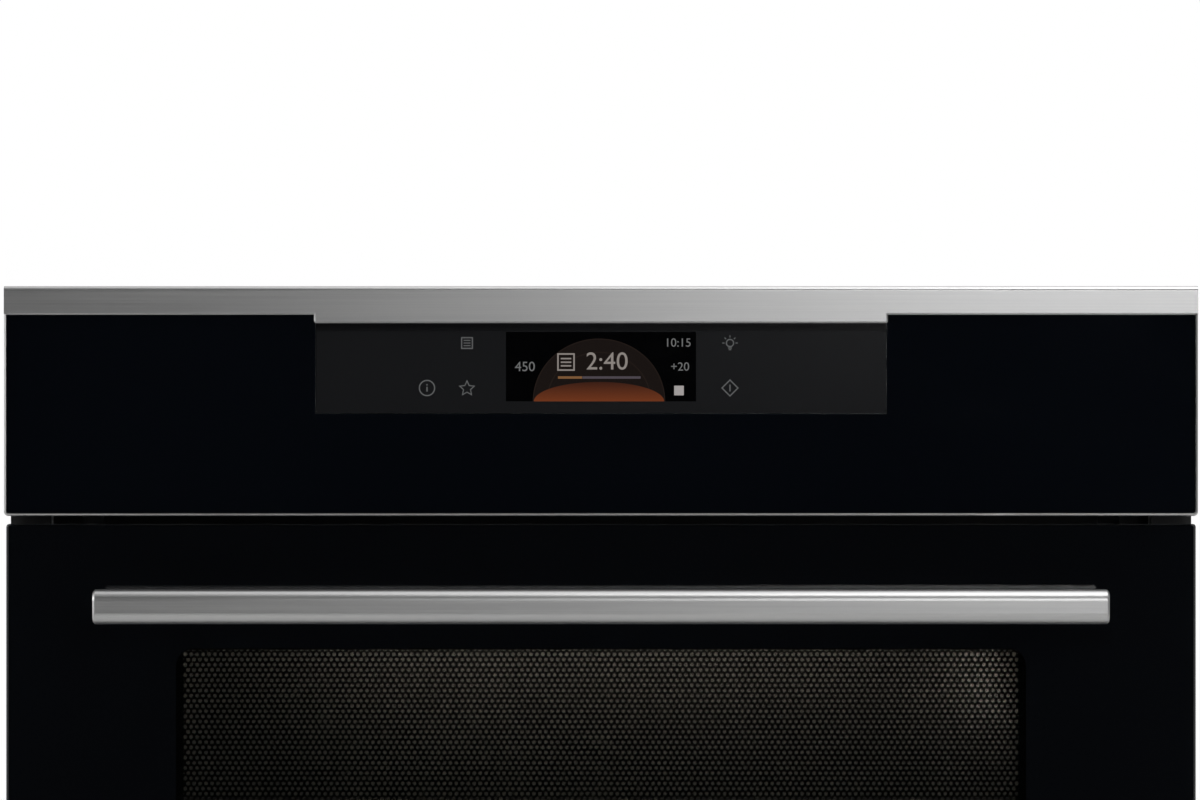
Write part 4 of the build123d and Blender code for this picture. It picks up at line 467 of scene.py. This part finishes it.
BOARD = 1.6 * MM


def board_finish(name, axis, face):
    """A green board with lighter tracks, whose parts past its face along an axis are dark mouldings."""
    finish = start_finish(name, (0.02, 0.12, 0.05), 0.4)
    colour = shader_of(finish).inputs["Base Color"]
    tracks = cells(finish, 240, feature="DISTANCE_TO_EDGE", randomness=0.5)
    tone(finish, tracks, (0.05, 0.24, 0.1), (0.014, 0.1, 0.042), 0.05, 0.09)
    mouldings = finish.node_tree.nodes.new("ShaderNodeMixRGB")
    mouldings.inputs["Color2"].default_value = (0.03, 0.03, 0.033, 1)
    join(finish, colour.links[0].from_socket, mouldings.inputs["Color1"])
    join(finish, height_of(finish, axis, face, face + 0.1 * BOARD), mouldings.inputs["Fac"])
    join(finish, mouldings.outputs["Color"], colour)
    vary(finish, grain(finish, 90), 0.3, 0.5)
    return finish


finishes["circuit_board"] = board_finish("green_power_board", "Z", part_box("power_board")[0].z + BOARD)
upright_board = board_finish("green_control_board", "Y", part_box("control_board")[0].y + BOARD)
print("finishes", len(finishes))

# %% [markdown]
# Each solid came in with a plain colour that is named for its slot. The finish for that slot takes its
# place. The door glass shares a slot with the fascia glass, but light has to pass through its window, so it
# gets the tinted glass. The control board stands upright, so its own finish looks for the parts behind it.

# %% Give the solids their finishes
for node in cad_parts.values():
    slot = node.material_slots[0].material.name
    node.material_slots[0].material = finishes[slot]
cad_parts["door_glass"].material_slots[0].material = door_glass
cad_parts["control_board"].material_slots[0].material = upright_board
print("solids with a finish", len(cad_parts))

# %% [markdown]
# New pieces are drawn with bmesh, because its operators leave clean faces and need no open window. A helper
# turns a finished bmesh into an object at the origin that rides on a body of the frame, so it moves with the
# door or stays with the housing. Two more draw a block between two corners and round its edges, as every
# pressed or moulded piece has them.

# %% Helpers for new pieces
def show_mesh(mesh, name, finish):
    """Puts a mesh into the scene as an object at the origin."""
    mesh.materials.append(finish)
    thing = bpy.data.objects.new(name, mesh)
    bpy.context.scene.collection.objects.link(thing)
    return thing


def show_shape(shape, name, finish):
    """Puts a bmesh into the scene and lets go of it."""
    mesh = bpy.data.meshes.new(name)
    shape.to_mesh(mesh)
    shape.free()
    return show_mesh(mesh, name, finish)


def give_place(piece, body):
    """Makes an object a piece of the part, riding on a body."""
    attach(piece, body)
    return piece


def keep_piece(shape, name, body, finish, weld=True):
    """Turns a bmesh into a piece of the part."""
    if weld:
        bmesh.ops.remove_doubles(shape, verts=shape.verts, dist=0.001 * MM)
    bmesh.ops.recalc_face_normals(shape, faces=shape.faces)
    return give_place(show_shape(shape, name, finish), body)


def edges_of(verts):
    """The edges at some corners, each of them once."""
    return list(dict.fromkeys(edge for vert in verts for edge in vert.link_edges))


def soften(shape, edges, radius, steps=2):
    """Rounds some edges of a shape."""
    bmesh.ops.bevel(shape, geom=edges, offset=radius, offset_type="OFFSET", segments=steps, profile=0.5,
                    affect="EDGES", material=-1)


def add_block(shape, low, high):
    """Draws a block between two corners and gives back its edges."""
    size = Vector(high) - Vector(low)
    middle = (Vector(low) + Vector(high)) / 2
    place = Matrix.Translation(middle) @ Matrix.Diagonal((*size, 1))
    return edges_of(bmesh.ops.create_cube(shape, size=1, matrix=place)["verts"])


print("piece helpers ready")

# %% [markdown]
# The window of the door is the part of the glass with no print behind it. The print is a thin black sheet
# with a rounded opening: an outer and an inner loop are bridged, and the sheet is drawn out a tenth of a
# millimetre. A hole could be cut with a boolean too, but the bridge leaves cleaner faces. The print lies in
# the glass's rear face, where the real enamel print is.

# %% Black print behind the door glass
PRINT_DEPTH = 0.1 * MM
PRINT_MARGIN = 0.8 * MM
PRINT_CORNER = 1 * MM
WINDOW_MARGIN = 8 * MM
WINDOW_CORNER = 9 * MM
FRONT = Matrix.Rotation(math.radians(90), 4, "X")


def draw_sheet(shape, left, right, bottom, top, corner):
    """One upright face in the plane y = 0 that looks to the front, with rounded corners."""
    size = Matrix.Diagonal((right - left, top - bottom, 1, 1))
    place = Matrix.Translation(((left + right) / 2, 0, (bottom + top) / 2)) @ FRONT @ size
    made = bmesh.ops.create_grid(shape, x_segments=1, y_segments=1, size=0.5, matrix=place)
    bmesh.ops.bevel(shape, geom=made["verts"], offset=corner, offset_type="OFFSET", segments=6, profile=0.5,
                    affect="VERTICES", material=-1)


def draw_out(shape, depth):
    """Gives the drawn faces a thickness towards the front."""
    made = bmesh.ops.extrude_face_region(shape, geom=shape.faces[:])
    moved = [item for item in made["geom"] if isinstance(item, bmesh.types.BMVert)]
    bmesh.ops.translate(shape, verts=moved, vec=(0, -depth, 0))


def draw_border(outer, inner, corner_out, corner_in, depth, rear):
    """An upright frame between two rectangles, its rear face at the given y."""
    shape = bmesh.new()
    draw_sheet(shape, *inner, corner_in)
    draw_sheet(shape, *outer, corner_out)
    bmesh.ops.delete(shape, geom=shape.faces[:], context="FACES_ONLY")
    bmesh.ops.bridge_loops(shape, edges=shape.edges[:])
    draw_out(shape, depth)
    bmesh.ops.translate(shape, verts=shape.verts, vec=(0, rear, 0))
    return shape


def sides_of(low, high, margin):
    """Left, right, bottom and top of a box, moved inwards by a margin."""
    return low.x + margin, high.x - margin, low.z + margin, high.z - margin


door_low, door_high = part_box("door_glass")
screen_low, screen_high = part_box("door_screen")
print_sides = sides_of(door_low, door_high, PRINT_MARGIN)
window_sides = sides_of(screen_low, screen_high, WINDOW_MARGIN)
window_print = draw_border(print_sides, window_sides, PRINT_CORNER, WINDOW_CORNER, PRINT_DEPTH, door_high.y)
keep_piece(window_print, "window_print", "door", door_print)
print("window", round((window_sides[1] - window_sides[0]) / MM), "mm wide")

# %% [markdown]
# The sheet behind the window keeps the microwaves in and lets the light out, through thousands of small
# holes. The CAD sheet is whole, so a punched one takes its place. Its pattern is a honeycomb: each cell is a
# ring of six faces between a six-sided rim and a six-sided hole, and cells that meet share their rim once
# the doubles merge. Two halves keep each mesh light, and a plain border hides their ragged outer edges.

# %% Punched screen behind the window
HOLE_PITCH = 3 * MM
HOLE_RADIUS = 1.16 * MM
CELL_RADIUS = HOLE_PITCH / math.sqrt(3)
ROW_STEP = HOLE_PITCH * math.sqrt(3) / 2
BORDER_WIDTH = 6.5 * MM
BORDER_OVERLAP = 1.5 * MM
BORDER_CORNERS = (1 * MM, 3 * MM)
SHEET_STEP = 0.05 * MM


def add_cell(shape, middle):
    """One six-sided cell of the sheet with a six-sided hole."""
    rim = []
    hole = []
    for step in range(6):
        angle = math.radians(30 + 60 * step)
        way = Vector((math.cos(angle), 0, math.sin(angle)))
        rim.append(shape.verts.new(middle + way * CELL_RADIUS))
        hole.append(shape.verts.new(middle + way * HOLE_RADIUS))
    for step in range(-1, 5):
        shape.faces.new((rim[step], rim[step + 1], hole[step + 1], hole[step]))


screen_depth = screen_high.y - screen_low.y
left, right, foot, head = sides_of(screen_low, screen_high, BORDER_WIDTH - BORDER_OVERLAP)
columns = int((right - left) / 2 / HOLE_PITCH)
rows = int((head - foot) / ROW_STEP)
for name, first in (("door_screen_left", -columns), ("door_screen_right", 0)):
    half = bmesh.new()
    for row in range(rows):
        shift = 0.25 if row % 2 else -0.25
        for column in range(first, first + columns):
            add_cell(half, Vector(((column + 0.5 + shift) * HOLE_PITCH, 0, foot + (row + 0.5) * ROW_STEP)))
    bmesh.ops.remove_doubles(half, verts=half.verts, dist=HOLE_PITCH / 100)
    draw_out(half, screen_depth - 2 * SHEET_STEP)
    bmesh.ops.translate(half, verts=half.verts, vec=(0, screen_high.y - SHEET_STEP, 0))
    piece = keep_piece(half, name, "door", screen, weld=False)
    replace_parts(piece, "door_screen")
border_out = sides_of(screen_low, screen_high, 0)
border_in = sides_of(screen_low, screen_high, BORDER_WIDTH)
border = draw_border(border_out, border_in, *BORDER_CORNERS, screen_depth, screen_high.y)
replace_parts(keep_piece(border, "door_screen_border", "door", screen), "door_screen")
print("holes in the screen", 2 * columns * rows)

# %% [markdown]
# A grey silicone seal holds the inner glass and shows when the door is open. It is a flat frame over the
# edge of the glass, so the bridge that made the print makes it too.

# %% Seal round the inner glass
SEAL_DEPTH = 0.7 * MM
SEAL_PAST_GLASS = 2 * MM
SEAL_ON_GLASS = 4 * MM
SEAL_CORNERS = (5 * MM, 8 * MM)
inner_low, inner_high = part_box("door_inner_glass")
seal_out = sides_of(inner_low, inner_high, -SEAL_PAST_GLASS)
seal_in = sides_of(inner_low, inner_high, SEAL_ON_GLASS)
window_seal = draw_border(seal_out, seal_in, *SEAL_CORNERS, SEAL_DEPTH, inner_high.y + SEAL_DEPTH)
keep_piece(window_seal, "window_seal", "door", silicone)
print("seal stands", SEAL_DEPTH / MM, "mm proud of the inner glass")

# %% [markdown]
# The steel lip round the fascia glass has a rolled edge that catches a thin line of light. It falls away to
# the outside in a round and stands square on the glass, along the sides and the foot of the fascia. A curve
# with a bevel could draw it, but its round would face both ways. So this section stands along the outline,
# once at each end and a few times round each corner, and each is joined to the next.

# %% Rolled edge of the fascia lip
EDGE_RADIUS = 1.7 * MM
EDGE_TURN = math.radians(68)
EDGE_CORNER = 2.2 * MM
EDGE_STEPS = 8
CORNER_STEPS = 6
TRIM_FOOT_ROW = 314
carrier_low, carrier_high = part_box("fascia_carrier")
edge_top = on_front(0, TRIM_FOOT_ROW).z


def edge_outline():
    """Points along the lip from its left to its right end, each with the direction out of the fascia."""
    points = [(Vector((carrier_low.x, front_y, edge_top)), Vector((-1, 0, 0)))]
    for middle_x, start in ((carrier_low.x + EDGE_CORNER, 180), (carrier_high.x - EDGE_CORNER, 270)):
        middle = Vector((middle_x, front_y, carrier_low.z + EDGE_CORNER))
        for step in range(CORNER_STEPS + 1):
            angle = math.radians(start + 90 * step / CORNER_STEPS)
            out = Vector((math.cos(angle), 0, math.sin(angle)))
            points.append((middle + out * EDGE_CORNER, out))
    points.append((Vector((carrier_high.x, front_y, edge_top)), Vector((1, 0, 0))))
    return points


rolled_edge = bmesh.new()
sections = []
for point, out in edge_outline():
    section = []
    for step in range(EDGE_STEPS + 1):
        angle = EDGE_TURN * step / EDGE_STEPS
        rise = out * (math.cos(angle) - 1) - Vector((0, math.sin(angle), 0))
        section.append(rolled_edge.verts.new(point + rise * EDGE_RADIUS))
    section.append(rolled_edge.verts.new(point + out * EDGE_RADIUS * (math.cos(EDGE_TURN) - 1)))
    sections.append(section)
for here, there in zip(sections, sections[1:]):
    for index in range(-1, EDGE_STEPS + 1):
        rolled_edge.faces.new((here[index], here[index + 1], there[index + 1], there[index]))
for section in (sections[0], sections[-1]):
    rolled_edge.faces.new(section)
lip_edge = keep_piece(rolled_edge, "fascia_rolled_edge", "housing", steel)
print("rolled edge faces", len(lip_edge.data.polygons))

# %% [markdown]
# A soft washer lies under each handle post, so that the screw doesn't press metal on glass. It is a thin
# block a little larger than the post, and only its four edges through the thickness are rounded.

# %% Washers under the handle posts
POST_WIDTH = 22 * MM
WASHER_DEPTH = 0.7 * MM
WASHER_RIM = 1.1 * MM
WASHER_CORNER = 6.9 * MM
post_low, post_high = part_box("handle_posts")
washers = bmesh.new()
for side in (-1, 1):
    left, right = sorted((side * (post_high.x - POST_WIDTH), side * post_high.x))
    low = (left - WASHER_RIM, post_high.y - WASHER_DEPTH, post_low.z - WASHER_RIM)
    high = (right + WASHER_RIM, post_high.y, post_high.z + WASHER_RIM)
    through = [edge for edge in add_block(washers, low, high)
               if abs(edge.verts[0].co.y - edge.verts[1].co.y) > WASHER_DEPTH / 2]
    soften(washers, through, WASHER_CORNER, 8)
keep_piece(washers, "handle_washers", "door", silicone)
print("handle washers at", round(post_low.x / MM), "and", round(post_high.x / MM), "mm")

# %% [markdown]
# Four rubber buffers on the front frame take the door when it shuts. Each is a low cone with a rounded
# crown, and it stays a hair short of the door at rest, so that nothing sinks into it.

# %% Door buffers
BUFFER_RADIUS = 4.5 * MM
BUFFER_HEIGHT = 1.5 * MM
BUFFER_TAPER = 0.86
BUFFER_ROUND = 0.5 * MM
BUFFER_IN = 14 * MM
frame_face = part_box("bottom_vent")[1].y
pan_low, pan_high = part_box("door_pan")
buffers = bmesh.new()
for side in (-1, 1):
    for level in (pan_low.z + 24 * MM, pan_high.z - 40 * MM):
        seat = Matrix.Translation((side * (pan_high.x - BUFFER_IN), frame_face - BUFFER_HEIGHT / 2, level))
        made = bmesh.ops.create_cone(buffers, cap_ends=True, segments=32, radius1=BUFFER_RADIUS,
                                     radius2=BUFFER_RADIUS * BUFFER_TAPER, depth=BUFFER_HEIGHT,
                                     matrix=seat @ FRONT)
        crown = [edge for edge in edges_of(made["verts"])
                 if max(vert.co.y for vert in edge.verts) < frame_face - BUFFER_HEIGHT / 2]
        soften(buffers, crown, BUFFER_ROUND, 3)
keep_piece(buffers, "door_buffers", "housing", silicone)
buffer_room = frame_face - BUFFER_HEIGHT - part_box("choke_cover")[1].y
print("door buffers 4, room to the door", round(buffer_room / MM, 2), "mm")

# %% [markdown]
# Through the gap over the door the bright front frame would show as a line, so a dark strip covers it there.
# It is painted shade: a dark sheet in place of the shade that fills the gap. It leaves the slots for the two
# latch hooks free and steps over to the flanges at its ends, so it is made of five blocks.

# %% Dark strip behind the gap over the door, as painted shade
HOOK_WIDTH = 8 * MM
HOOK_ROOM = 1.4 * MM
STRIP_DEPTH = 0.7 * MM
STRIP_ROUND = 0.2 * MM
hook_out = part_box("latch_hooks")[1].x
flange_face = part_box("front_frame")[0].y
strip_low = door_high.z - 2 * MM
strip_high = glass_low.z + 4 * MM
slot_in = hook_out - HOOK_WIDTH - HOOK_ROOM
slot_out = hook_out + HOOK_ROOM
step_in = pan_high.x + 3.5 * MM
step_out = pan_high.x + 4 * MM
strip_end = door_high.x - 0.6 * MM
# Painted shade: this dark strip stands in for the shade inside the gap over the door.
gap_shade_strip = bmesh.new()


def add_strip(left, right, face, top):
    """One length of the strip, lying on a face of the frame."""
    edges = add_block(gap_shade_strip, (left, face - STRIP_DEPTH, strip_low), (right, face, top))
    soften(gap_shade_strip, edges, STRIP_ROUND)


add_strip(-slot_in, slot_in, frame_face, strip_high)
for side in (-1, 1):
    add_strip(*sorted((side * slot_out, side * step_out)), frame_face, strip_high)
    add_strip(*sorted((side * step_in, side * strip_end)), flange_face, carrier_low.z)
keep_piece(gap_shade_strip, "gap_shade_strip", "housing", black_plastic)
print("gap strip from", round(strip_low / MM, 1), "to", round(strip_high / MM, 1), "mm")

# %% [markdown]
# Pressed beads stiffen the oven's side walls. They are long low blocks with well-rounded edges, half sunk in
# the wall, two on each side, below the lamp and the air screen.

# %% Beads in the oven walls
BEAD_PROUD = 2.6 * MM
BEAD_SUNK = 0.6 * MM
BEAD_HALF = 7 * MM
BEAD_ROUND = 1.55 * MM
bead_front = liner_low.y + 60 * MM
bead_rear = liner_high.y - 50 * MM
seal_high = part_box("floor_seal")[1]
beads = bmesh.new()
for side in (-1, 1):
    left, right = sorted((side * (seal_high.x - BEAD_PROUD), side * (seal_high.x + BEAD_SUNK)))
    for level in (seal_high.z + 45 * MM, seal_high.z + 90 * MM):
        low = (left, bead_front, level - BEAD_HALF)
        high = (right, bead_rear, level + BEAD_HALF)
        soften(beads, add_block(beads, low, high), BEAD_ROUND, 4)
keep_piece(beads, "wall_beads", "housing", stainless)
print("wall beads 4,", round((bead_rear - bead_front) / MM), "mm long")

# %% [markdown]
# The symbols on the touch panel are dim grey marks in the glass, a few millimetres wide. An image could hold
# them, but drawn ones stay sharp at any size. They are drawn in millimetres round their own middle, out of
# rings, bars and small plates, and then placed by the pixel they have in the picture. They stand a twentieth
# of a millimetre proud of the panel, as a thick print does, and glow a little, as lit touch fields do.

# %% Ink for the symbols
INK_DEPTH = 0.05 * MM
LINE = 0.6
ink = start_finish("grey_symbol_ink", (0.05, 0.052, 0.054), 0.5)
screen_dots = grain(ink, 2500, detail=1)
tone(ink, screen_dots, (0.04, 0.042, 0.044), (0.06, 0.062, 0.064))
tone(ink, screen_dots, (0.055, 0.057, 0.058), (0.075, 0.077, 0.078), socket="Emission Color")
even(ink, "Emission Strength", 1.0)


def hollow(shape, corners, width):
    """Turns a flat plate into an outline of the given width."""
    plate = corners[0].link_faces[0]
    bmesh.ops.inset_region(shape, faces=[plate], thickness=width, use_boundary=True, use_even_offset=True)
    bmesh.ops.delete(shape, geom=[plate], context="FACES_ONLY")


def draw_ring(shape, radius, width, sides, turn=0.0):
    """A flat ring or outlined polygon, drawn in millimetres about the origin."""
    spin = Matrix.Rotation(math.radians(turn), 4, "Z")
    made = bmesh.ops.create_circle(shape, cap_ends=True, radius=radius, segments=sides, matrix=spin)
    hollow(shape, made["verts"], width)


def draw_bar(shape, x, y, width, height, turn=0.0):
    """A flat bar, drawn in millimetres about a point."""
    size = Matrix.Diagonal((width, height, 1, 1))
    place = Matrix.Translation((x, y, 0)) @ Matrix.Rotation(math.radians(turn), 4, "Z") @ size
    bmesh.ops.create_grid(shape, x_segments=1, y_segments=1, size=0.5, matrix=place)


def place_drawing(shape, name, spot, finish, depth):
    """Puts a flat drawing at a spot on the front, and gives it its thickness."""
    place = Matrix.Translation(spot) @ FRONT @ Matrix.Scale(MM, 4)
    bmesh.ops.transform(shape, matrix=place, verts=shape.verts)
    draw_out(shape, depth)
    return keep_piece(shape, name, "housing", finish, weld=False)


def place_symbol(shape, name, column, row):
    """Prints a drawing on the touch panel, its middle at a pixel."""
    spot = on_front(column, row, touch_low.y)
    return place_drawing(shape, name, spot, ink, INK_DEPTH)


print("ink", ink.name, "on the touch panel at y", round(touch_low.y / MM, 2), "mm")

# %% [markdown]
# Five plain signs stand on the panel: a list, an information mark, a star, a lamp and a start sign. The star
# is a circle with ten corners, every second of them pulled in.

# %% Symbols on the touch panel
list_symbol = bmesh.new()
draw_ring(list_symbol, 4.2, LINE, 4, turn=45)
for height in (1.3, 0, -1.3):
    draw_bar(list_symbol, 0, height, 3.4, 0.5)
place_symbol(list_symbol, "symbol_list", 467, 343)

info_symbol = bmesh.new()
draw_ring(info_symbol, 4.1, LINE, 32)
draw_bar(info_symbol, 0, -0.6, 0.7, 2.4)
draw_bar(info_symbol, 0, 1.6, 0.7, 0.7)
place_symbol(info_symbol, "symbol_info", 427, 388)

STAR_WAIST = 0.48
star_symbol = bmesh.new()
star = bmesh.ops.create_circle(star_symbol, cap_ends=True, radius=4.4, segments=10)["verts"]
for corner in star[1::2]:
    corner.co *= STAR_WAIST
hollow(star_symbol, star, 0.5)
place_symbol(star_symbol, "symbol_star", 467, 388.5)

RAY_MIDDLE = 3.3
lamp_symbol = bmesh.new()
draw_ring(lamp_symbol, 2.1, LINE, 24)
draw_bar(lamp_symbol, 0, -2.5, 1.9, 0.55)
draw_bar(lamp_symbol, 0, -3.3, 1.3, 0.5)
for turn in (0, 45, 90, 135, 180):
    angle = math.radians(turn)
    draw_bar(lamp_symbol, math.cos(angle) * RAY_MIDDLE, math.sin(angle) * RAY_MIDDLE, 1.1, 0.5, turn)
place_symbol(lamp_symbol, "symbol_lamp", 730, 343)

start_symbol = bmesh.new()
draw_ring(start_symbol, 4.4, LINE, 4)
draw_bar(start_symbol, 0, 0, 0.65, 3.4)
place_symbol(start_symbol, "symbol_start", 730, 388)
print("symbols 5")

# %% [markdown]
# The display shows a running program with a plain picture of its own. A display makes its own light, so each
# colour is an almost black finish that glows. A fine grid between the pixels keeps the glow from looking
# painted. The ember colour has no grid: it fades from its foot to its head.

# %% Glowing inks of the display
EMBER_FOOT_ROW = 402
EMBER_HEAD_ROW = 381


def start_glow(name):
    """A dark and glossy finish that shows its own light."""
    finish = start_finish(name, (0.001, 0.001, 0.001), 0.07)
    even(finish, "Emission Strength", 1.0)
    return finish


def glow(name, dark, light):
    """A display colour with the pixel grid in it."""
    finish = start_glow(name)
    pixels = cells(finish, 4200, randomness=0.0)
    tone(finish, pixels, light, dark, 0.35, 0.75, socket="Emission Color")
    return finish


pale = glow("pale_display_light", (0.21, 0.185, 0.17), (0.28, 0.25, 0.23))
bright = glow("bright_display_light", (0.3, 0.28, 0.275), (0.38, 0.355, 0.35))
grey = glow("grey_display_light", (0.11, 0.11, 0.112), (0.165, 0.165, 0.168))
lilac = glow("lilac_display_light", (0.055, 0.046, 0.056), (0.085, 0.07, 0.085))
amber = glow("amber_display_light", (0.16, 0.075, 0.03), (0.23, 0.11, 0.045))
brown = glow("brown_display_light", (0.0075, 0.0052, 0.0045), (0.011, 0.0078, 0.0068))
umber = glow("umber_display_light", (0.016, 0.0105, 0.0085), (0.023, 0.0155, 0.0125))
ember = start_glow("ember_display_light")
climb = height_of(ember, "Z", on_front(0, EMBER_FOOT_ROW).z, on_front(0, EMBER_HEAD_ROW).z)
tone(ember, climb, (0.15, 0.036, 0.012), (0.035, 0.0115, 0.007), 0.0, 1.0, socket="Emission Color")
print("display colours 8")

# %% [markdown]
# The picture is a dim brown half disc with two rings, a low amber dome at its foot, a progress bar, a list
# and a square. Each is a plate a few hundredths of a millimetre thick. Three layers of them lie on the glass
# one over the other, because two faces in one plane would flicker.

# %% Plates of the display
PLATE = 0.03 * MM
DISC_FOOT = (599, 401.5)
DISC_SQUASH = 0.95
first_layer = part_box("display_module")[0].y
second_layer = first_layer - PLATE
third_layer = second_layer - PLATE


def draw_dome(shape, radius, squash, width=0.0):
    """The upper half of a disc or ring, pressed flatter by a factor."""
    made = bmesh.ops.create_circle(shape, cap_ends=True, radius=radius, segments=96)
    if width:
        hollow(shape, made["verts"], width)
    whole = shape.verts[:] + shape.edges[:] + shape.faces[:]
    bmesh.ops.bisect_plane(shape, geom=whole, dist=0.0001, plane_co=(0, 0, 0), plane_no=(0, -1, 0),
                           clear_outer=True)
    bmesh.ops.scale(shape, vec=(1, squash, 1), verts=shape.verts)


def place_plate(shape, name, column, row, finish, layer):
    """Lays a glowing plate on the display, its origin at a pixel."""
    return place_drawing(shape, name, on_front(column, row, layer), finish, PLATE)


half_disc = bmesh.new()
draw_dome(half_disc, 33, DISC_SQUASH)
place_plate(half_disc, "display_half_disc", *DISC_FOOT, brown, first_layer)
for name, radius in (("display_ring_outer", 33), ("display_ring_inner", 26)):
    half_ring = bmesh.new()
    draw_dome(half_ring, radius, DISC_SQUASH, 0.35)
    place_plate(half_ring, name, *DISC_FOOT, umber, second_layer)

amber_dome = bmesh.new()
draw_dome(amber_dome, 32.5, 0.3)
place_plate(amber_dome, "display_amber_dome", *DISC_FOOT, ember, third_layer)

bars = (("display_bar_done", 12, 570, amber), ("display_bar_left", 29, 611.5, lilac))
for name, length, column, finish in bars:
    bar = bmesh.new()
    draw_bar(bar, 0, 0, length, 1.2)
    place_plate(bar, name, column, 377.5, finish, third_layer)

dish = bmesh.new()
draw_ring(dish, 6.2, 0.75, 4, turn=45)
for height in (1.7, -0.1, -1.9):
    draw_bar(dish, 0, height, 5.2, 0.7)
place_plate(dish, "display_dish", 566, 362, pale, third_layer)

stop_square = bmesh.new()
draw_bar(stop_square, 0, 0, 4.8, 4.8)
place_plate(stop_square, "display_stop_square", 679, 390.5, bright, third_layer)
print("display plates at", round(first_layer / MM, 2), "to", round((third_layer - PLATE) / MM, 2), "mm")

# %% [markdown]
# The numbers are text objects with the built-in typeface. Text is a curve in Blender, so each is turned into
# a mesh before it is placed, and from then on it is a piece like any other.

# %% Numbers on the display
def place_number(words, name, column, row, height, finish):
    """Writes a number on the display, its middle at a pixel, its size in millimetres."""
    curve = bpy.data.curves.new(name, "FONT")
    curve.body = words
    curve.size = height * MM
    curve.align_x = "CENTER"
    curve.align_y = "CENTER"
    curve.extrude = PLATE / 2
    holder = bpy.data.objects.new(name + "_text", curve)
    bpy.context.scene.collection.objects.link(holder)
    mesh = bpy.data.meshes.new_from_object(holder)
    bpy.data.objects.remove(holder)
    spot = on_front(column, row, third_layer - PLATE / 2)
    mesh.transform(Matrix.Translation(spot) @ FRONT)
    mesh.materials.clear()
    return give_place(show_mesh(mesh, name, finish), "housing")


numbers = [
    place_number("2:40", "display_timer", 607, 362, 12.4, pale),
    place_number("450", "display_power", 525, 367, 6.8, grey),
    place_number("10:15", "display_clock", 678, 343, 6.0, grey),
    place_number("+20", "display_more", 680, 367, 6.0, grey),
]
print("numbers", [piece.name for piece in numbers])

# %% [markdown]
# Fasteners are small, but a casing without them looks like a box. A screw is a low cone with a six-lobed
# socket: its top face is inset, every second pair of the inner corners is pulled in, and the inset is pushed
# down.

# %% Screws
SOCKET_SIDES = 24
SCREW_RADIUS = 3.8 * MM
SCREW_HEIGHT = 2 * MM
SCREW_TAPER = 0.88
SOCKET_RIM = 0.42 * SCREW_RADIUS
SOCKET_WAIST = 0.78
SOCKET_DEPTH = 0.6 * SCREW_HEIGHT
SCREW_IN = 7.5 * MM


def add_screw(shape, seat, outward):
    """A pan-head screw with a six-lobed socket, seated on a surface."""
    outward = Vector(outward)
    turn = Vector((0, 0, 1)).rotation_difference(outward).to_matrix().to_4x4()
    place = Matrix.Translation(seat) @ turn @ Matrix.Translation((0, 0, SCREW_HEIGHT / 2))
    made = bmesh.ops.create_cone(shape, cap_ends=True, segments=SOCKET_SIDES, radius1=SCREW_RADIUS,
                                 radius2=SCREW_RADIUS * SCREW_TAPER, depth=SCREW_HEIGHT, matrix=place)
    shape.normal_update()
    caps = [face for vert in made["verts"] for face in vert.link_faces if len(face.verts) == SOCKET_SIDES]
    top = max(caps, key=lambda face: face.normal.dot(outward))
    bmesh.ops.inset_region(shape, faces=[top], thickness=SOCKET_RIM, use_even_offset=True)
    centre = top.calc_center_median()
    for index, corner in enumerate(top.verts):
        if index % 4 < 2:
            corner.co = centre + (corner.co - centre) * SOCKET_WAIST
    sunk = bmesh.ops.extrude_discrete_faces(shape, faces=[top])["faces"][0]
    bmesh.ops.translate(shape, verts=sunk.verts[:], vec=-outward * SOCKET_DEPTH)


rear_low, rear_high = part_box("rear_panel")
rear_height = rear_high.z - rear_low.z
screws = bmesh.new()
for side in (-1, 1):
    for share in (0.08, 0.37, 0.66):
        seat = (side * (rear_high.x - SCREW_IN), rear_high.y, rear_low.z + share * rear_height)
        add_screw(screws, seat, (0, 1, 0))
    for share in (0.1, 0.5, 0.9):
        seat = (side * rear_high.x, liner_low.y + SCREW_IN, rear_low.z + share * rear_height)
        add_screw(screws, seat, (side, 0, 0))
for share in (-0.92, -0.46, 0, 0.46, 0.92):
    add_screw(screws, (share * rear_high.x, rear_high.y, rear_high.z - SCREW_IN), (0, 1, 0))
print("casing screws", len(screws.faces) // (3 * SOCKET_SIDES + 2))
keep_piece(screws, "casing_screws", "housing", screw)

# %% [markdown]
# A built-in appliance stands on a shelf, and its door drops in front of that shelf, with the handle lower
# than the foot of the casing. So the part stands on a low pale block that is set back from the door, and the
# floor lies lower by the height of it. Neither rides on a body, so neither is part of the object.

# %% Floor and stand
FLOOR_RADIUS = 3
FLOOR_GAP = 0.2 * MM
STAND_HEIGHT = 44 * MM
STAND_BACK = 110 * MM
STAND_IN = 60 * MM
STAND_ROUND = 3 * MM
pale_floor = start_finish("pale_floor", (0.82, 0.82, 0.81), 0.7)
tone(pale_floor, grain(pale_floor, 3), (0.8, 0.8, 0.79), (0.84, 0.84, 0.83))
ground = -STAND_HEIGHT - FLOOR_GAP
floor = bmesh.new()
bmesh.ops.create_circle(floor, cap_ends=True, radius=FLOOR_RADIUS, segments=96,
                        matrix=Matrix.Translation((0, 0, ground)))
show_shape(floor, "floor", pale_floor)
stand = bmesh.new()
stand_low = (STAND_IN - rear_high.x, front_y + STAND_BACK, ground)
stand_high = (rear_high.x - STAND_IN, rear_high.y - STAND_IN, -FLOOR_GAP)
soften(stand, add_block(stand, stand_low, stand_high), STAND_ROUND, 3)
show_shape(stand, "stand", pale_floor)
print("floor radius", FLOOR_RADIUS, "m, stand", STAND_HEIGHT / MM, "mm high")
